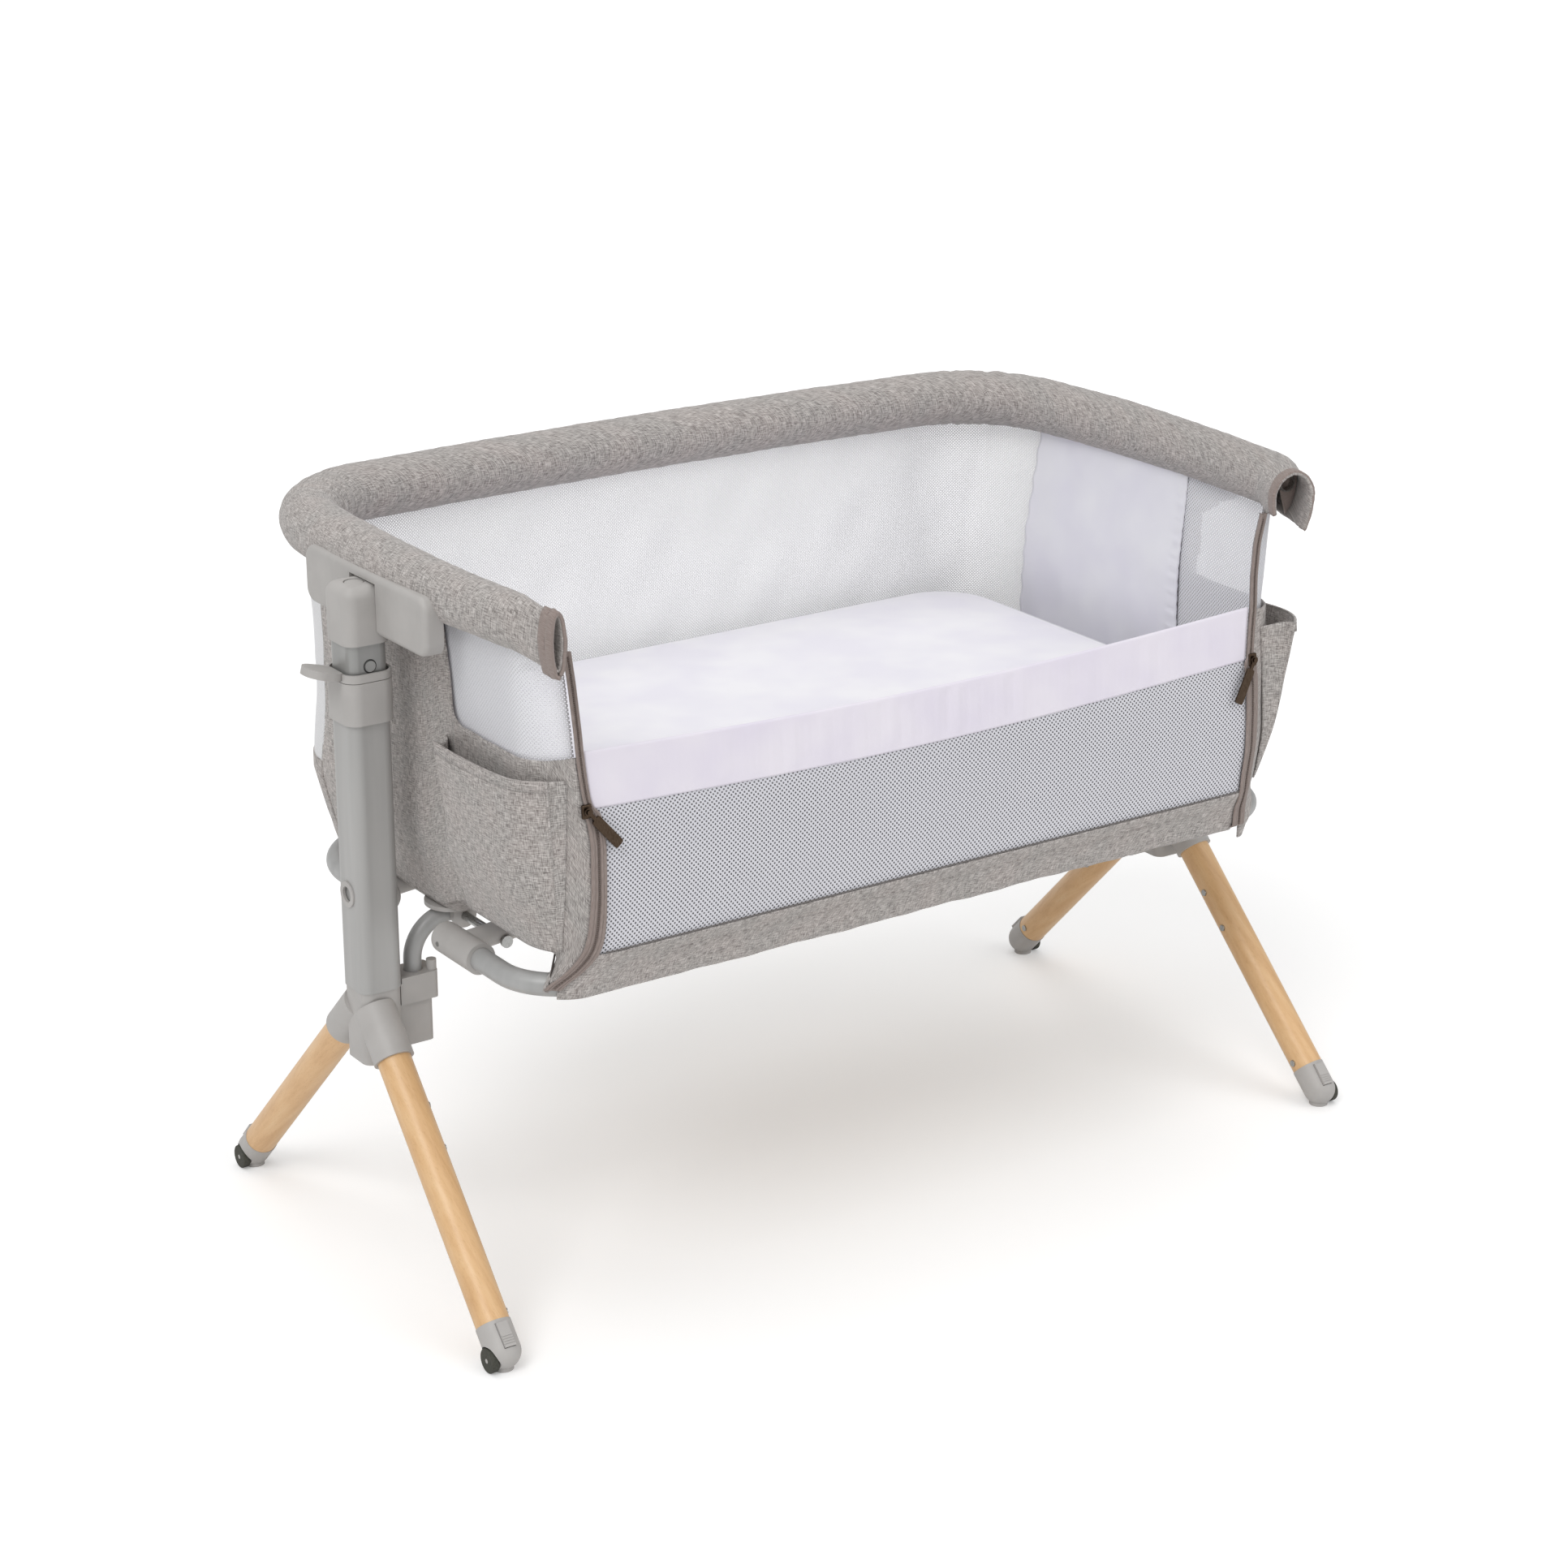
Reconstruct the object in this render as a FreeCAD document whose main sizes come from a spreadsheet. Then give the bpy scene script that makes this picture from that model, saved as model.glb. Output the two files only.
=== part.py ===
import FreeCAD, Part
import math
import os
import Sketcher
from FreeCAD import Placement, Rotation, Vector

# Bedside sleeper crib, millimetres. The origin is on the floor below the middle of the crib.
# X runs along the crib, Y from the open front (-Y) to the back, Z is up.
# The crib stands at its lowest height with its front side let down.

DRIVING = [
    # the padded top rail: a tube bent to a U that is open at the front
    ("rail_half_length", 411.0, "tube axis at the middle of each end"),
    ("rail_half_depth", 253.0, "tube axis at the middle of the back"),
    ("rail_height", 630.0, "tube axis above the floor"),
    ("rail_corner_radius", 103.0, "tube axis at the back corners"),
    ("rail_back_bow", 10.0, "how far the back run bows out"),
    ("rail_end_bow", 14.0, "how far each end run bows out"),
    ("rail_front_inset", 41.0, "tube ends short of the rail's half depth, in front"),
    ("rail_front_reach", "=rail_half_depth - rail_front_inset", "tube ends in front of the middle"),
    ("rail_tube_radius", 8.0, "steel tube"),
    ("sleeve_radius", 23.5, "foam and cloth sleeve on the rail"),
    ("sleeve_overhang", 33.0, "open sleeve beyond the tube's end"),
    ("cuff_wall", 3.0, "thickness of the open sleeve end"),
    # the cloth walls
    ("cloth_wall", 1.6, "thickness of the cloth panels"),
    ("zip_inset", 53.0, "rail half length less the zip's place"),
    ("tape_width", 14.0, "zip tape"),
    ("panel_split", 66.0, "front edge of the grey end panel, in front of the middle"),
    ("lip_height", 517.5, "top of the lowered front side"),
    ("slider_height", 470.0, "zip sliders and lower edge of the white band"),
    ("window_sill", 505.0, "lower edge of the mesh in the ends"),
    ("tray_height", 400.0, "lower edge of the mesh at the back"),
    ("hem_height", 345.0, "lower edge of the front mesh"),
    ("wall_foot", 330.0, "lower edge of the end walls"),
    ("lining_gap", 4.0, "lining to the end wall"),
    ("pocket_reach", 24.0, "how far a side pocket stands out at its top"),
    ("pocket_rear", 78.0, "rear edge of the pocket, in front of the middle"),
    ("pocket_front_inset", 81.0, "front edge of the pocket short of the rail's half depth"),
    ("pocket_front", "=rail_half_depth - pocket_front_inset", "front edge of the pocket"),
    # the base below the mattress
    ("base_end_inset", 9.0, "axis of the base tubes inside the rail's, at the ends"),
    ("base_side_inset", 47.0, "axis of the base tubes inside the rail's, at front and back"),
    ("base_half_length", "=rail_half_length - base_end_inset", "axis of the base tubes at the ends"),
    ("base_half_depth", "=rail_half_depth - base_side_inset", "axis of the base tubes at front and back"),
    ("base_height", 315.0, "axis of the base tubes"),
    ("base_corner_radius", 56.0, "axis of the front base tube"),
    ("base_rear_radius", 78.0, "axis of the rear base tube"),
    ("base_tube_radius", 10.0, "steel tube"),
    ("elbow_radius", 14.0, "elbow that holds the end of a base tube"),
    ("elbow_rear", 50.0, "elbow end next to the middle"),
    ("elbow_mouth_inset", 92.0, "elbow mouth behind the front base tube's axis"),
    ("elbow_front", "=base_half_depth - elbow_mouth_inset", "elbow mouth"),
    ("stem_place", 76.0, "stem of the elbow beside the middle"),
    ("stem_rise", 5.0, "how far the stem rises inwards"),
    ("board_thickness", 6.0, "mattress board"),
    ("board_inset", 4.0, "board inside the straight part of the base tubes"),
    ("mattress_thickness", 106.0, "at the edge of the top"),
    ("mattress_crown", 6.5, "rise of the top in the middle"),
    ("mattress_gap", 6.0, "mattress to the front and back walls"),
    ("mattress_end_gap", 36.0, "mattress to the end linings"),
    # the telescopic post of each stand
    ("post_clearance", 15.0, "inner face of the post beyond the rail's axis"),
    ("post_width", 40.0, "outer tube along X"),
    ("post_place", "=rail_half_length + post_clearance + post_width / 2", "post axis from the middle"),
    ("post_depth", 42.0, "outer tube along Y"),
    ("post_corner", 10.0, "outer tube"),
    ("post_wall", 1.3, "outer tube"),
    ("post_gap", 0.25, "running gap between the two tubes"),
    ("inner_wall", 1.5, "inner tube"),
    ("seam_height", 263.0, "foot of the outer tube on the hub"),
    ("collar_foot", 507.0, "collar on the outer tube"),
    ("collar_height", 37.0, "collar"),
    ("collar_wall", 3.0, "collar outside the tube"),
    ("cap_foot", 576.0, "head cap on the inner tube"),
    ("cap_height", 50.0, "head cap"),
    ("cap_wall", 2.6, "head cap outside the inner tube"),
    ("travel", 40.0, "height adjustment"),
    ("grommet_height", 351.0, "hole in the outer tube"),
    ("snap_height", 557.0, "snap button of the inner tube"),
    # the wing bracket that carries the rail
    ("wing_half_length", 106.0, "wing bracket along Y"),
    ("wing_foot", 583.0, "lower edge"),
    ("wing_height", 51.0, "wing bracket"),
    ("wing_thickness", 18.0, "wing bracket"),
    ("wing_stand_off", 29.0, "outer face beyond the rail axis"),
    # the fold pivot and the brace between basket and hub
    ("pivot_inset", 84.0, "pivot axis from the post axis"),
    ("pivot_height", 313.0, "pivot axis"),
    ("axle_radius", 4.0, "fold axle"),
    ("brace_radius", 8.0, "brace tube"),
    ("brace_bend", 36.0, "brace bend, tube axis"),
    ("brace_inset", 39.0, "upright of the brace from the post axis"),
    ("clip_top", 268.0, "top of the brace guide"),
    ("clip_foot", 203.0, "foot of the brace guide"),
    # hub and legs
    ("hub_step", 1.0, "hub set back from the outer tube"),
    ("hub_foot", 196.0, "lower face of the hub"),
    ("leg_apex_height", 255.0, "leg axes meet here"),
    ("leg_apex_lean", 4.0, "leg axes meet this far outside the post axis"),
    ("foot_lean", 14.0, "feet stand this far outside the post axis"),
    ("foot_reach", 249.5, "foot from the middle along Y"),
    ("leg_radius", 15.0, "beech leg"),
    ("socket_wall", 3.0, "leg socket of the hub"),
    ("socket_reach", 45.0, "socket mouth from the middle along Y"),
    ("leg_root", 28.0, "hidden upper end of the leg along Y"),
    ("boot_height", 33.0, "top of the foot boot above the floor"),
    ("wheel_radius", 11.0, "wheel in the boot"),
    ("wheel_width", 7.0, "wheel in the boot"),
]

doc = FreeCAD.newDocument("BedsideCrib")
sheet = doc.addObject("Spreadsheet::Sheet", "Sizes")
for row, (alias, value, note) in enumerate(DRIVING, 1):
    sheet.set("A%d" % row, alias)
    sheet.set("B%d" % row, str(value))
    sheet.set("C%d" % row, note)
    sheet.setAlias("B%d" % row, alias)
doc.recompute()

SIDES = (("left", -1), ("right", 1))
PARTS = []


def size(alias):
    """One driving size from the sheet."""
    return float(sheet.get(alias))


def number(expression):
    """The value of an expression on the sheet."""
    return float(sheet.evalExpression(expression))


def keep(item, label):
    """Mark a document object as one sub-part of the crib."""
    item.Label = label
    PARTS.append(item)
    return item


def bind(item, **expressions):
    for name, expression in expressions.items():
        item.setExpression(name, expression)


def along(axis):
    """The rotation that turns +Z to an axis."""
    return Rotation(Vector(0, 0, 1), axis)


def cylinder(radius, height, start, axis):
    """A cylinder bound to the sheet that starts at a point and runs along an axis."""
    item = doc.addObject("Part::Cylinder", "Cylinder")
    bind(item, Radius=radius, Height=height)
    item.Placement = Placement(start, along(axis))
    return item


def block(length, width, height, corner):
    """A box bound to the sheet with its lowest corner at a point."""
    item = doc.addObject("Part::Box", "Box")
    bind(item, Length=length, Width=width, Height=height)
    item.Placement = Placement(corner, Rotation())
    return item


def solid(shape, name="Solid"):
    item = doc.addObject("Part::Feature", name)
    item.Shape = shape
    return item


def fuse(*items):
    result = doc.addObject("Part::MultiFuse", "Fuse")
    result.Shapes = list(items)
    result.Refine = True
    return result


def cut(base, *tools):
    result = doc.addObject("Part::Cut", "Cut")
    result.Base = base
    result.Tool = tools[0] if len(tools) == 1 else fuse(*tools)
    result.Refine = True
    return result


def fillet(base, radius, wanted):
    """Round the edges of a finished object that a test picks by their middle."""
    doc.recompute()
    edges = [(index + 1, radius, radius) for index, edge in enumerate(base.Shape.Edges)
             if wanted(edge.CenterOfMass)]
    result = doc.addObject("Part::Fillet", "Fillet")
    result.Base = base
    result.Edges = edges
    return result


def add_loop(sketch, name, width, depth, corner):
    """A rounded rectangle about the sketch's origin, bound to the sheet."""
    wide, deep, turn = number(width) / 2, number(depth) / 2, number(corner)
    first = sketch.GeometryCount
    flat_x, flat_y = wide - turn, deep - turn
    corners = ((flat_x, -flat_y, 270), (flat_x, flat_y, 0), (-flat_x, flat_y, 90), (-flat_x, -flat_y, 180))
    lines = ((-flat_x, -deep, flat_x, -deep), (wide, -flat_y, wide, flat_y),
             (flat_x, deep, -flat_x, deep), (-wide, flat_y, -wide, -flat_y))
    for x1, y1, x2, y2 in lines:
        sketch.addGeometry(Part.LineSegment(Vector(x1, y1, 0), Vector(x2, y2, 0)))
    for x, y, start in corners:
        circle = Part.Circle(Vector(x, y, 0), Vector(0, 0, 1), turn)
        sketch.addGeometry(Part.ArcOfCircle(circle, math.radians(start), math.radians(start + 90)))
    for index in range(4):
        line, arc, following = first + index, first + 4 + index, first + (index + 1) % 4
        sketch.addConstraint(Sketcher.Constraint("Tangent", line, 2, arc, 1))
        sketch.addConstraint(Sketcher.Constraint("Tangent", arc, 2, following, 1))
        kind = "Horizontal" if index % 2 == 0 else "Vertical"
        sketch.addConstraint(Sketcher.Constraint(kind, line))
    for index in range(1, 4):
        sketch.addConstraint(Sketcher.Constraint("Equal", first + 4, first + 4 + index))
    sketch.addConstraint(Sketcher.Constraint("Symmetric", first + 4, 3, first + 6, 3, -1, 1))
    sizes = ((Sketcher.Constraint("Radius", first + 4, turn), "Corner", corner),
             (Sketcher.Constraint("DistanceX", first + 3, 1, first + 1, 1, 2 * wide), "Width", width),
             (Sketcher.Constraint("DistanceY", first, 1, first + 2, 1, 2 * deep), "Depth", depth))
    for constraint, title, expression in sizes:
        index = sketch.addConstraint(constraint)
        sketch.renameConstraint(index, name + title)
        sketch.setExpression("Constraints." + name + title, expression)


def profile(body, level, *loops):
    """A sketch of nested rounded rectangles at a height above the body's XY plane."""
    sketch = body.newObject("Sketcher::SketchObject", "Profile")
    plane = [item for item in body.Origin.OriginFeatures if item.Role == "XY_Plane"][0]
    sketch.AttachmentSupport = [(plane, "")]
    sketch.MapMode = "FlatFace"
    sketch.setExpression("AttachmentOffset.Base.z", level)
    for name, loop in zip(("Outer", "Inner"), loops):
        add_loop(sketch, name, *loop)
    return sketch


def pad(body, level, length, *loops):
    """A prism on nested rounded rectangles."""
    feature = body.newObject("PartDesign::Pad", "Pad")
    feature.Profile = profile(body, level, *loops)
    feature.setExpression("Length", length)
    return feature


def pocket(body, level, length, loop):
    """A pocket that runs down from a level."""
    before = body_volume(body)
    feature = body.newObject("PartDesign::Pocket", "Pocket")
    feature.Profile = profile(body, level, loop)
    feature.setExpression("Length", length)
    if not body_volume(body) < before:
        raise RuntimeError("a pocket of %s cuts nothing" % body.Label)
    return feature


def body_volume(body):
    doc.recompute()
    return body.Shape.Volume


def new_body(name, x=0.0, y=0.0):
    body = doc.addObject("PartDesign::Body", name)
    body.Placement = Placement(Vector(x, y, 0), Rotation())
    return body


def round_edges(body, radius, wanted):
    """A PartDesign fillet on the edges that a test picks by their middle, in body coordinates."""
    doc.recompute()
    tip = body.Tip
    names = ["Edge%d" % (index + 1) for index, edge in enumerate(tip.Shape.Edges)
             if wanted(edge.CenterOfMass)]
    feature = body.newObject("PartDesign::Fillet", "Fillet")
    feature.Base = (tip, names)
    feature.setExpression("Radius", radius)
    return feature


# ---------------------------------------------------------------- places worked out from the sizes
RAIL_X, RAIL_Y, RAIL_Z = size("rail_half_length"), size("rail_half_depth"), size("rail_height")
CLOTH = size("cloth_wall")
POST_X = size("post_place")
PIVOT_X, PIVOT_Z = POST_X - size("pivot_inset"), size("pivot_height")
BASE_X, BASE_Y, BASE_Z = size("base_half_length"), size("base_half_depth"), size("base_height")
ZIP_X = RAIL_X - size("zip_inset")
BOARD_Z = BASE_Z + size("base_tube_radius") + 0.3
FLOOR_Z = BOARD_Z + size("board_thickness") + 0.3
WING_FACE_X = RAIL_X + size("wing_stand_off")
SLOT_HALF = size("post_depth") / 2 + 1.6
SLOT_TOP = size("cap_foot") + size("cap_height") + 1.4
WEB_X = POST_X - size("post_width") / 2 - 1.6
WEB_THICKNESS = 7.0
WEB_HALF = SLOT_HALF + 20.0
CHANNEL_FOOT = BASE_Z - size("base_tube_radius") - 2.7
TAPE_TURN = math.radians(10)
LINING = 1.2
BINDING_LENGTH = 9.0
BINDING_WALL = 1.2
BOSS_PLACES = (-80.0, 80.0)
BOSS_RADIUS = 6.0
BOSS_Z = 621.0
ELBOW_SCREW_Y = 64.0
PLATE_RADIUS = 26.0
PLATE_REACH = 48.0
EAR_WIDTH = 8.0
PIN_RADIUS = 2.0
SCREW_REACHES = (78.0, 106.0, 212.0)
TENON_RADIUS = 9.0
TENON_DROP = 11.0
TAB_START = 3.0
TAB_DEPTH = 3.0
TONGUE_TILT = 15.0
ZIP_STEP = 50.0
PULL_THICKNESS = 1.6
PULL_TURN = {"left": -40.0, "right": 28.0}


# ---------------------------------------------------------------- top rail
def bow_radius(half_chord, bow):
    return (half_chord ** 2 + bow ** 2) / (2 * bow)


def rail_path(front_reach):
    """The rail's axis: two gently bowed ends and a bowed back, joined by tangent corners."""
    corner = size("rail_corner_radius")
    back_radius = bow_radius(RAIL_X - corner, size("rail_back_bow"))
    end_radius = bow_radius(size("rail_front_reach"), size("rail_end_bow"))
    back_centre = Vector(0, RAIL_Y - back_radius, RAIL_Z)
    end_centre = Vector(RAIL_X - end_radius, 0, RAIL_Z)
    # the corner's centre lies at its own distance inside both bows
    span = back_centre.sub(end_centre)
    to_end, to_back = end_radius - corner, back_radius - corner
    distance = span.Length
    share = (to_end ** 2 - to_back ** 2 + distance ** 2) / (2 * distance)
    height = math.sqrt(to_end ** 2 - share ** 2)
    axis = span.normalize()
    sideways = Vector(-axis.y, axis.x, 0)
    options = [end_centre + axis * share + sideways * sign * height for sign in (1, -1)]
    centre = max(options, key=lambda point: point.x + point.y)
    end_join = centre + (centre - end_centre).normalize() * corner
    back_join = centre + (centre - back_centre).normalize() * corner
    corner_middle = centre + ((end_join + back_join) * 0.5 - centre).normalize() * corner
    drawn_in = end_radius - math.sqrt(end_radius ** 2 - front_reach ** 2)
    front = Vector(RAIL_X - drawn_in, -front_reach, RAIL_Z)
    middle = Vector(RAIL_X, 0, RAIL_Z)

    def flip(point):
        return Vector(-point.x, point.y, point.z)

    arcs = [Part.Arc(flip(front), flip(middle), flip(end_join)),
            Part.Arc(flip(end_join), flip(corner_middle), flip(back_join)),
            Part.Arc(flip(back_join), Vector(0, RAIL_Y, RAIL_Z), back_join),
            Part.Arc(back_join, corner_middle, end_join),
            Part.Arc(end_join, middle, front)]
    return Part.Wire([arc.toShape() for arc in arcs])


def pipe(path, radius):
    """A round solid along a path that starts at the path's first point."""
    first = path.OrderedEdges[0]
    start = path.OrderedVertexes[0].Point
    other = start.isEqual(first.valueAt(first.LastParameter), 1e-6)
    tangent = first.tangentAt(first.LastParameter if other else first.FirstParameter)
    ring = Part.Wire([Part.Circle(start, tangent, radius).toShape()])
    return path.makePipeShell([ring], True, False)


RAIL_PIPE = rail_path(size("rail_front_reach"))
SLEEVE_PIPE = rail_path(size("rail_front_reach") + size("sleeve_overhang"))
SLEEVE_SOLID = pipe(SLEEVE_PIPE, size("sleeve_radius"))
CUFF_MOUTH_Y = -(size("rail_front_reach") + size("sleeve_overhang"))


def front_box(reach):
    """Everything in front of the rail tube's ends."""
    low = Vector(-2 * RAIL_X, CUFF_MOUTH_Y - 50, RAIL_Z - 100)
    return Part.makeBox(4 * RAIL_X, 50 + reach, 200, low)


def make_top_rail():
    tube = pipe(RAIL_PIPE, size("rail_tube_radius"))
    bore = pipe(RAIL_PIPE, size("rail_tube_radius") - 1.5)
    keep(solid(tube.cut(bore), "RailTube"), "top_rail_tube")


def wing_room():
    """The space in the sleeve for the two wing brackets and their bosses."""
    rooms = []
    for name, sign in SIDES:
        inner = WING_FACE_X - size("wing_thickness") - 0.3
        web_inner = WEB_X - WEB_THICKNESS - 0.3
        for near, half in ((inner, size("wing_half_length") + 0.3), (web_inner, WEB_HALF + 0.3)):
            low_x = near if sign > 0 else -near - 60
            rooms.append(Part.makeBox(60, 2 * half, size("wing_height") + 0.3,
                                      Vector(low_x, -half, size("wing_foot"))))
        for place in BOSS_PLACES:
            start = Vector(sign * RAIL_X, place, BOSS_Z)
            rooms.append(Part.makeCylinder(BOSS_RADIUS + 0.3, 40, start, Vector(sign, 0, 0)))
    return rooms[0].multiFuse(rooms[1:])


def make_sleeve():
    """Foam and cloth on the tube; past the tube's ends only the cloth cuff stays."""
    tube_room = pipe(SLEEVE_PIPE, size("rail_tube_radius") + 0.3)
    cuff = pipe(SLEEVE_PIPE, size("sleeve_radius") - size("cuff_wall"))
    cuff_room = cuff.common(front_box(size("sleeve_overhang") - 3.0))
    binding_room = front_box(BINDING_LENGTH + 0.2)
    sleeve = SLEEVE_SOLID.cut(tube_room).cut(cuff_room).cut(binding_room).cut(wing_room())
    keep(solid(sleeve, "Sleeve"), "rail_sleeve")


# ---------------------------------------------------------------- cloth walls
# The plan of the walls at each height, as distances inside the rail's axis:
# at the ends, at the back and at the front, with the back corners' radius.
WALL_TOP = RAIL_Z - 18.0
WALL_PLANS = [
    (CHANNEL_FOOT + 1.0, 28.0, 36.0, 36.0, 60.0),
    (size("wall_foot"), 26.0, 27.0, 29.0, 60.0),
    (size("hem_height"), 22.0, 24.0, 27.0, 62.0),
    (size("tray_height"), 9.0, 14.0, 31.4, 70.0),
    (size("slider_height"), 12.0, 13.0, 37.0, 80.0),
    (size("window_sill"), 11.5, 11.0, 40.7, 85.0),
    (size("lip_height"), 11.0, 10.0, 42.0, 88.0),
    (WALL_TOP, 3.0, 5.0, 42.0, 103.0),
]
FRONT, TAPE, END_FRONT, END_REAR, BACK = "front", "tape", "end_front", "end_rear", "back"


def run(plan, inset, side):
    """Edges of one stretch of the walls' plan, offset inwards; all stretches turn the same way."""
    height, end, back, front, back_turn = plan
    a, b, f = RAIL_X - end - inset, RAIL_Y - back - inset, -(RAIL_Y - front - inset)
    turn = back_turn - inset
    front_turn = a - ZIP_X
    tape_edge = ZIP_X - size("tape_width") / 2

    def corner_point(angle):
        return Vector(ZIP_X + front_turn * math.cos(angle), f + front_turn * (1 + math.sin(angle)), height)

    def arc(start, end_angle):
        middle = corner_point((start + end_angle) / 2)
        return Part.Arc(corner_point(start), middle, corner_point(end_angle))

    def back_arc():
        centre = Vector(a - turn, b - turn, height)
        diagonal = turn / math.sqrt(2)
        return Part.Arc(Vector(a, b - turn, height), centre + Vector(diagonal, diagonal, 0),
                        Vector(a - turn, b, height))

    bottom = math.radians(-90)
    if side == FRONT:
        return [Part.LineSegment(Vector(-tape_edge, f, height), Vector(tape_edge, f, height))]
    if side == TAPE:
        return [Part.LineSegment(Vector(tape_edge, f, height), corner_point(bottom)),
                arc(bottom, bottom + TAPE_TURN)]
    if side == END_FRONT:
        return [arc(bottom + TAPE_TURN, 0.0),
                Part.LineSegment(corner_point(0.0), Vector(a, -size("panel_split"), height))]
    if side == END_REAR:
        return [Part.LineSegment(Vector(a, -size("panel_split"), height), Vector(a, b - turn, height))]
    right = back_arc()
    left = Part.Arc(*[Vector(-p.x, p.y, p.z) for p in
                      (right.EndPoint, right.value((right.FirstParameter + right.LastParameter) / 2),
                       right.StartPoint)])
    return [right, Part.LineSegment(right.EndPoint, left.StartPoint), left]


def ring(plan, side, near, far):
    """The closed outline of a stretch of wall between two insets."""
    outer = [edge.toShape() for edge in run(plan, near, side)]
    inner = [edge.toShape() for edge in run(plan, far, side)]
    outer_ends = (outer[0].valueAt(outer[0].FirstParameter), outer[-1].valueAt(outer[-1].LastParameter))
    inner_ends = (inner[0].valueAt(inner[0].FirstParameter), inner[-1].valueAt(inner[-1].LastParameter))
    closing = [Part.LineSegment(outer_ends[1], inner_ends[1]).toShape(),
               Part.LineSegment(inner_ends[0], outer_ends[0]).toShape()]
    return Part.Wire(outer + [closing[0]] + inner[::-1] + [closing[1]])


def plan_at(height):
    """The walls' plan at any height, between the two nearest plans."""
    for low, high in zip(WALL_PLANS, WALL_PLANS[1:]):
        if low[0] <= height <= high[0]:
            share = (height - low[0]) / (high[0] - low[0])
            return (height,) + tuple(l + (h - l) * share for l, h in zip(low[1:], high[1:]))
    raise ValueError("no wall at height %g" % height)


def wall(side, foot, top, near=0.0, far=None):
    """A panel of cloth on one stretch of the walls, from one height to another."""
    heights = [foot] + [plan[0] for plan in WALL_PLANS if foot < plan[0] < top] + [top]
    far = near + CLOTH if far is None else far
    rings = [ring(plan_at(height), side, near, far) for height in heights]
    return Part.makeLoft(rings, True, True)


def mirrored(shape):
    return shape.mirror(Vector(0, 0, 0), Vector(1, 0, 0))


def both(shape):
    """A shape and its mirror image at the other end of the crib."""
    return Part.makeCompound([shape, mirrored(shape)])


def channel(sign, half_length):
    """The hem that wraps round a base tube, below the walls' foot; sign is -1 at the front."""
    plan = plan_at(size("wall_foot"))
    low = plan_at(WALL_PLANS[0][0])
    inset = 3 if sign < 0 else 2
    outer = RAIL_Y - plan[inset]
    middle = RAIL_Y - low[inset]
    tube_foot = BASE_Y - size("base_tube_radius") - 2.5
    outline = [(outer, size("wall_foot")), (middle, CHANNEL_FOOT + CLOTH), (middle - 1.5, CHANNEL_FOOT),
               (tube_foot, CHANNEL_FOOT), (tube_foot - 1.5, CHANNEL_FOOT + CLOTH), (tube_foot - 1.5, BOARD_Z),
               (tube_foot + CLOTH - 1.5, BOARD_Z), (tube_foot + CLOTH - 1.5, CHANNEL_FOOT + CLOTH),
               (middle - CLOTH, CHANNEL_FOOT + CLOTH), (outer - CLOTH, size("wall_foot"))]
    points = [Vector(-half_length, sign * y, z) for y, z in outline]
    face = Part.Face(Part.makePolygon(points + points[:1]))
    return face.extrude(Vector(2 * half_length, 0, 0))


def make_walls():
    sleeve_room = pipe(SLEEVE_PIPE, size("sleeve_radius") + 0.3)
    foot, hem, tray = size("wall_foot"), size("hem_height"), size("tray_height")
    band, sill, lip = size("slider_height"), size("window_sill"), size("lip_height")
    back_mesh = wall(BACK, tray, WALL_TOP).cut(sleeve_room)
    keep(solid(back_mesh, "BackMesh"), "back_mesh")
    back_channel = channel(1, BASE_X - size("base_rear_radius") - 1.0)
    keep(solid(wall(BACK, foot, tray).fuse(back_channel).removeSplitter(), "BackLower"), "back_lower_panel")
    end_panel = wall(END_REAR, foot, WALL_TOP).fuse(wall(END_FRONT, foot, sill)).removeSplitter()
    keep(solid(both(end_panel.cut(sleeve_room)), "EndPanels"), "end_panels")
    window = wall(END_FRONT, sill, WALL_TOP).cut(sleeve_room)
    keep(solid(both(window), "EndMesh"), "end_mesh_windows")
    keep(solid(wall(FRONT, hem, band), "FrontMesh"), "front_mesh")
    keep(solid(wall(FRONT, band, lip), "FrontBand"), "front_top_band")
    front_channel = channel(-1, ZIP_X - size("tape_width") / 2)
    keep(solid(wall(FRONT, foot, hem).fuse(front_channel).removeSplitter(), "FrontLower"), "front_lower_band")
    near = CLOTH + size("lining_gap")
    lining = wall(END_REAR, FLOOR_Z + 6.0, WALL_TOP, near, near + LINING).cut(sleeve_room)
    keep(solid(both(lining), "Linings"), "end_linings")


def make_trim():
    """Zip tapes from the hem to the rail, and the bindings round the sleeve's open ends."""
    sleeve_room = pipe(SLEEVE_PIPE, size("sleeve_radius") + 0.3)
    tape = wall(TAPE, WALL_PLANS[0][0], WALL_TOP, -0.4, CLOTH).cut(sleeve_room)
    binding = pipe(SLEEVE_PIPE, size("sleeve_radius") + BINDING_WALL)
    binding = binding.cut(pipe(SLEEVE_PIPE, size("sleeve_radius") - size("cuff_wall")))
    binding = binding.common(front_box(BINDING_LENGTH))
    keep(solid(Part.makeCompound([tape, mirrored(tape)] + binding.Solids), "Trim"), "zip_tapes_and_bindings")


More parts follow.
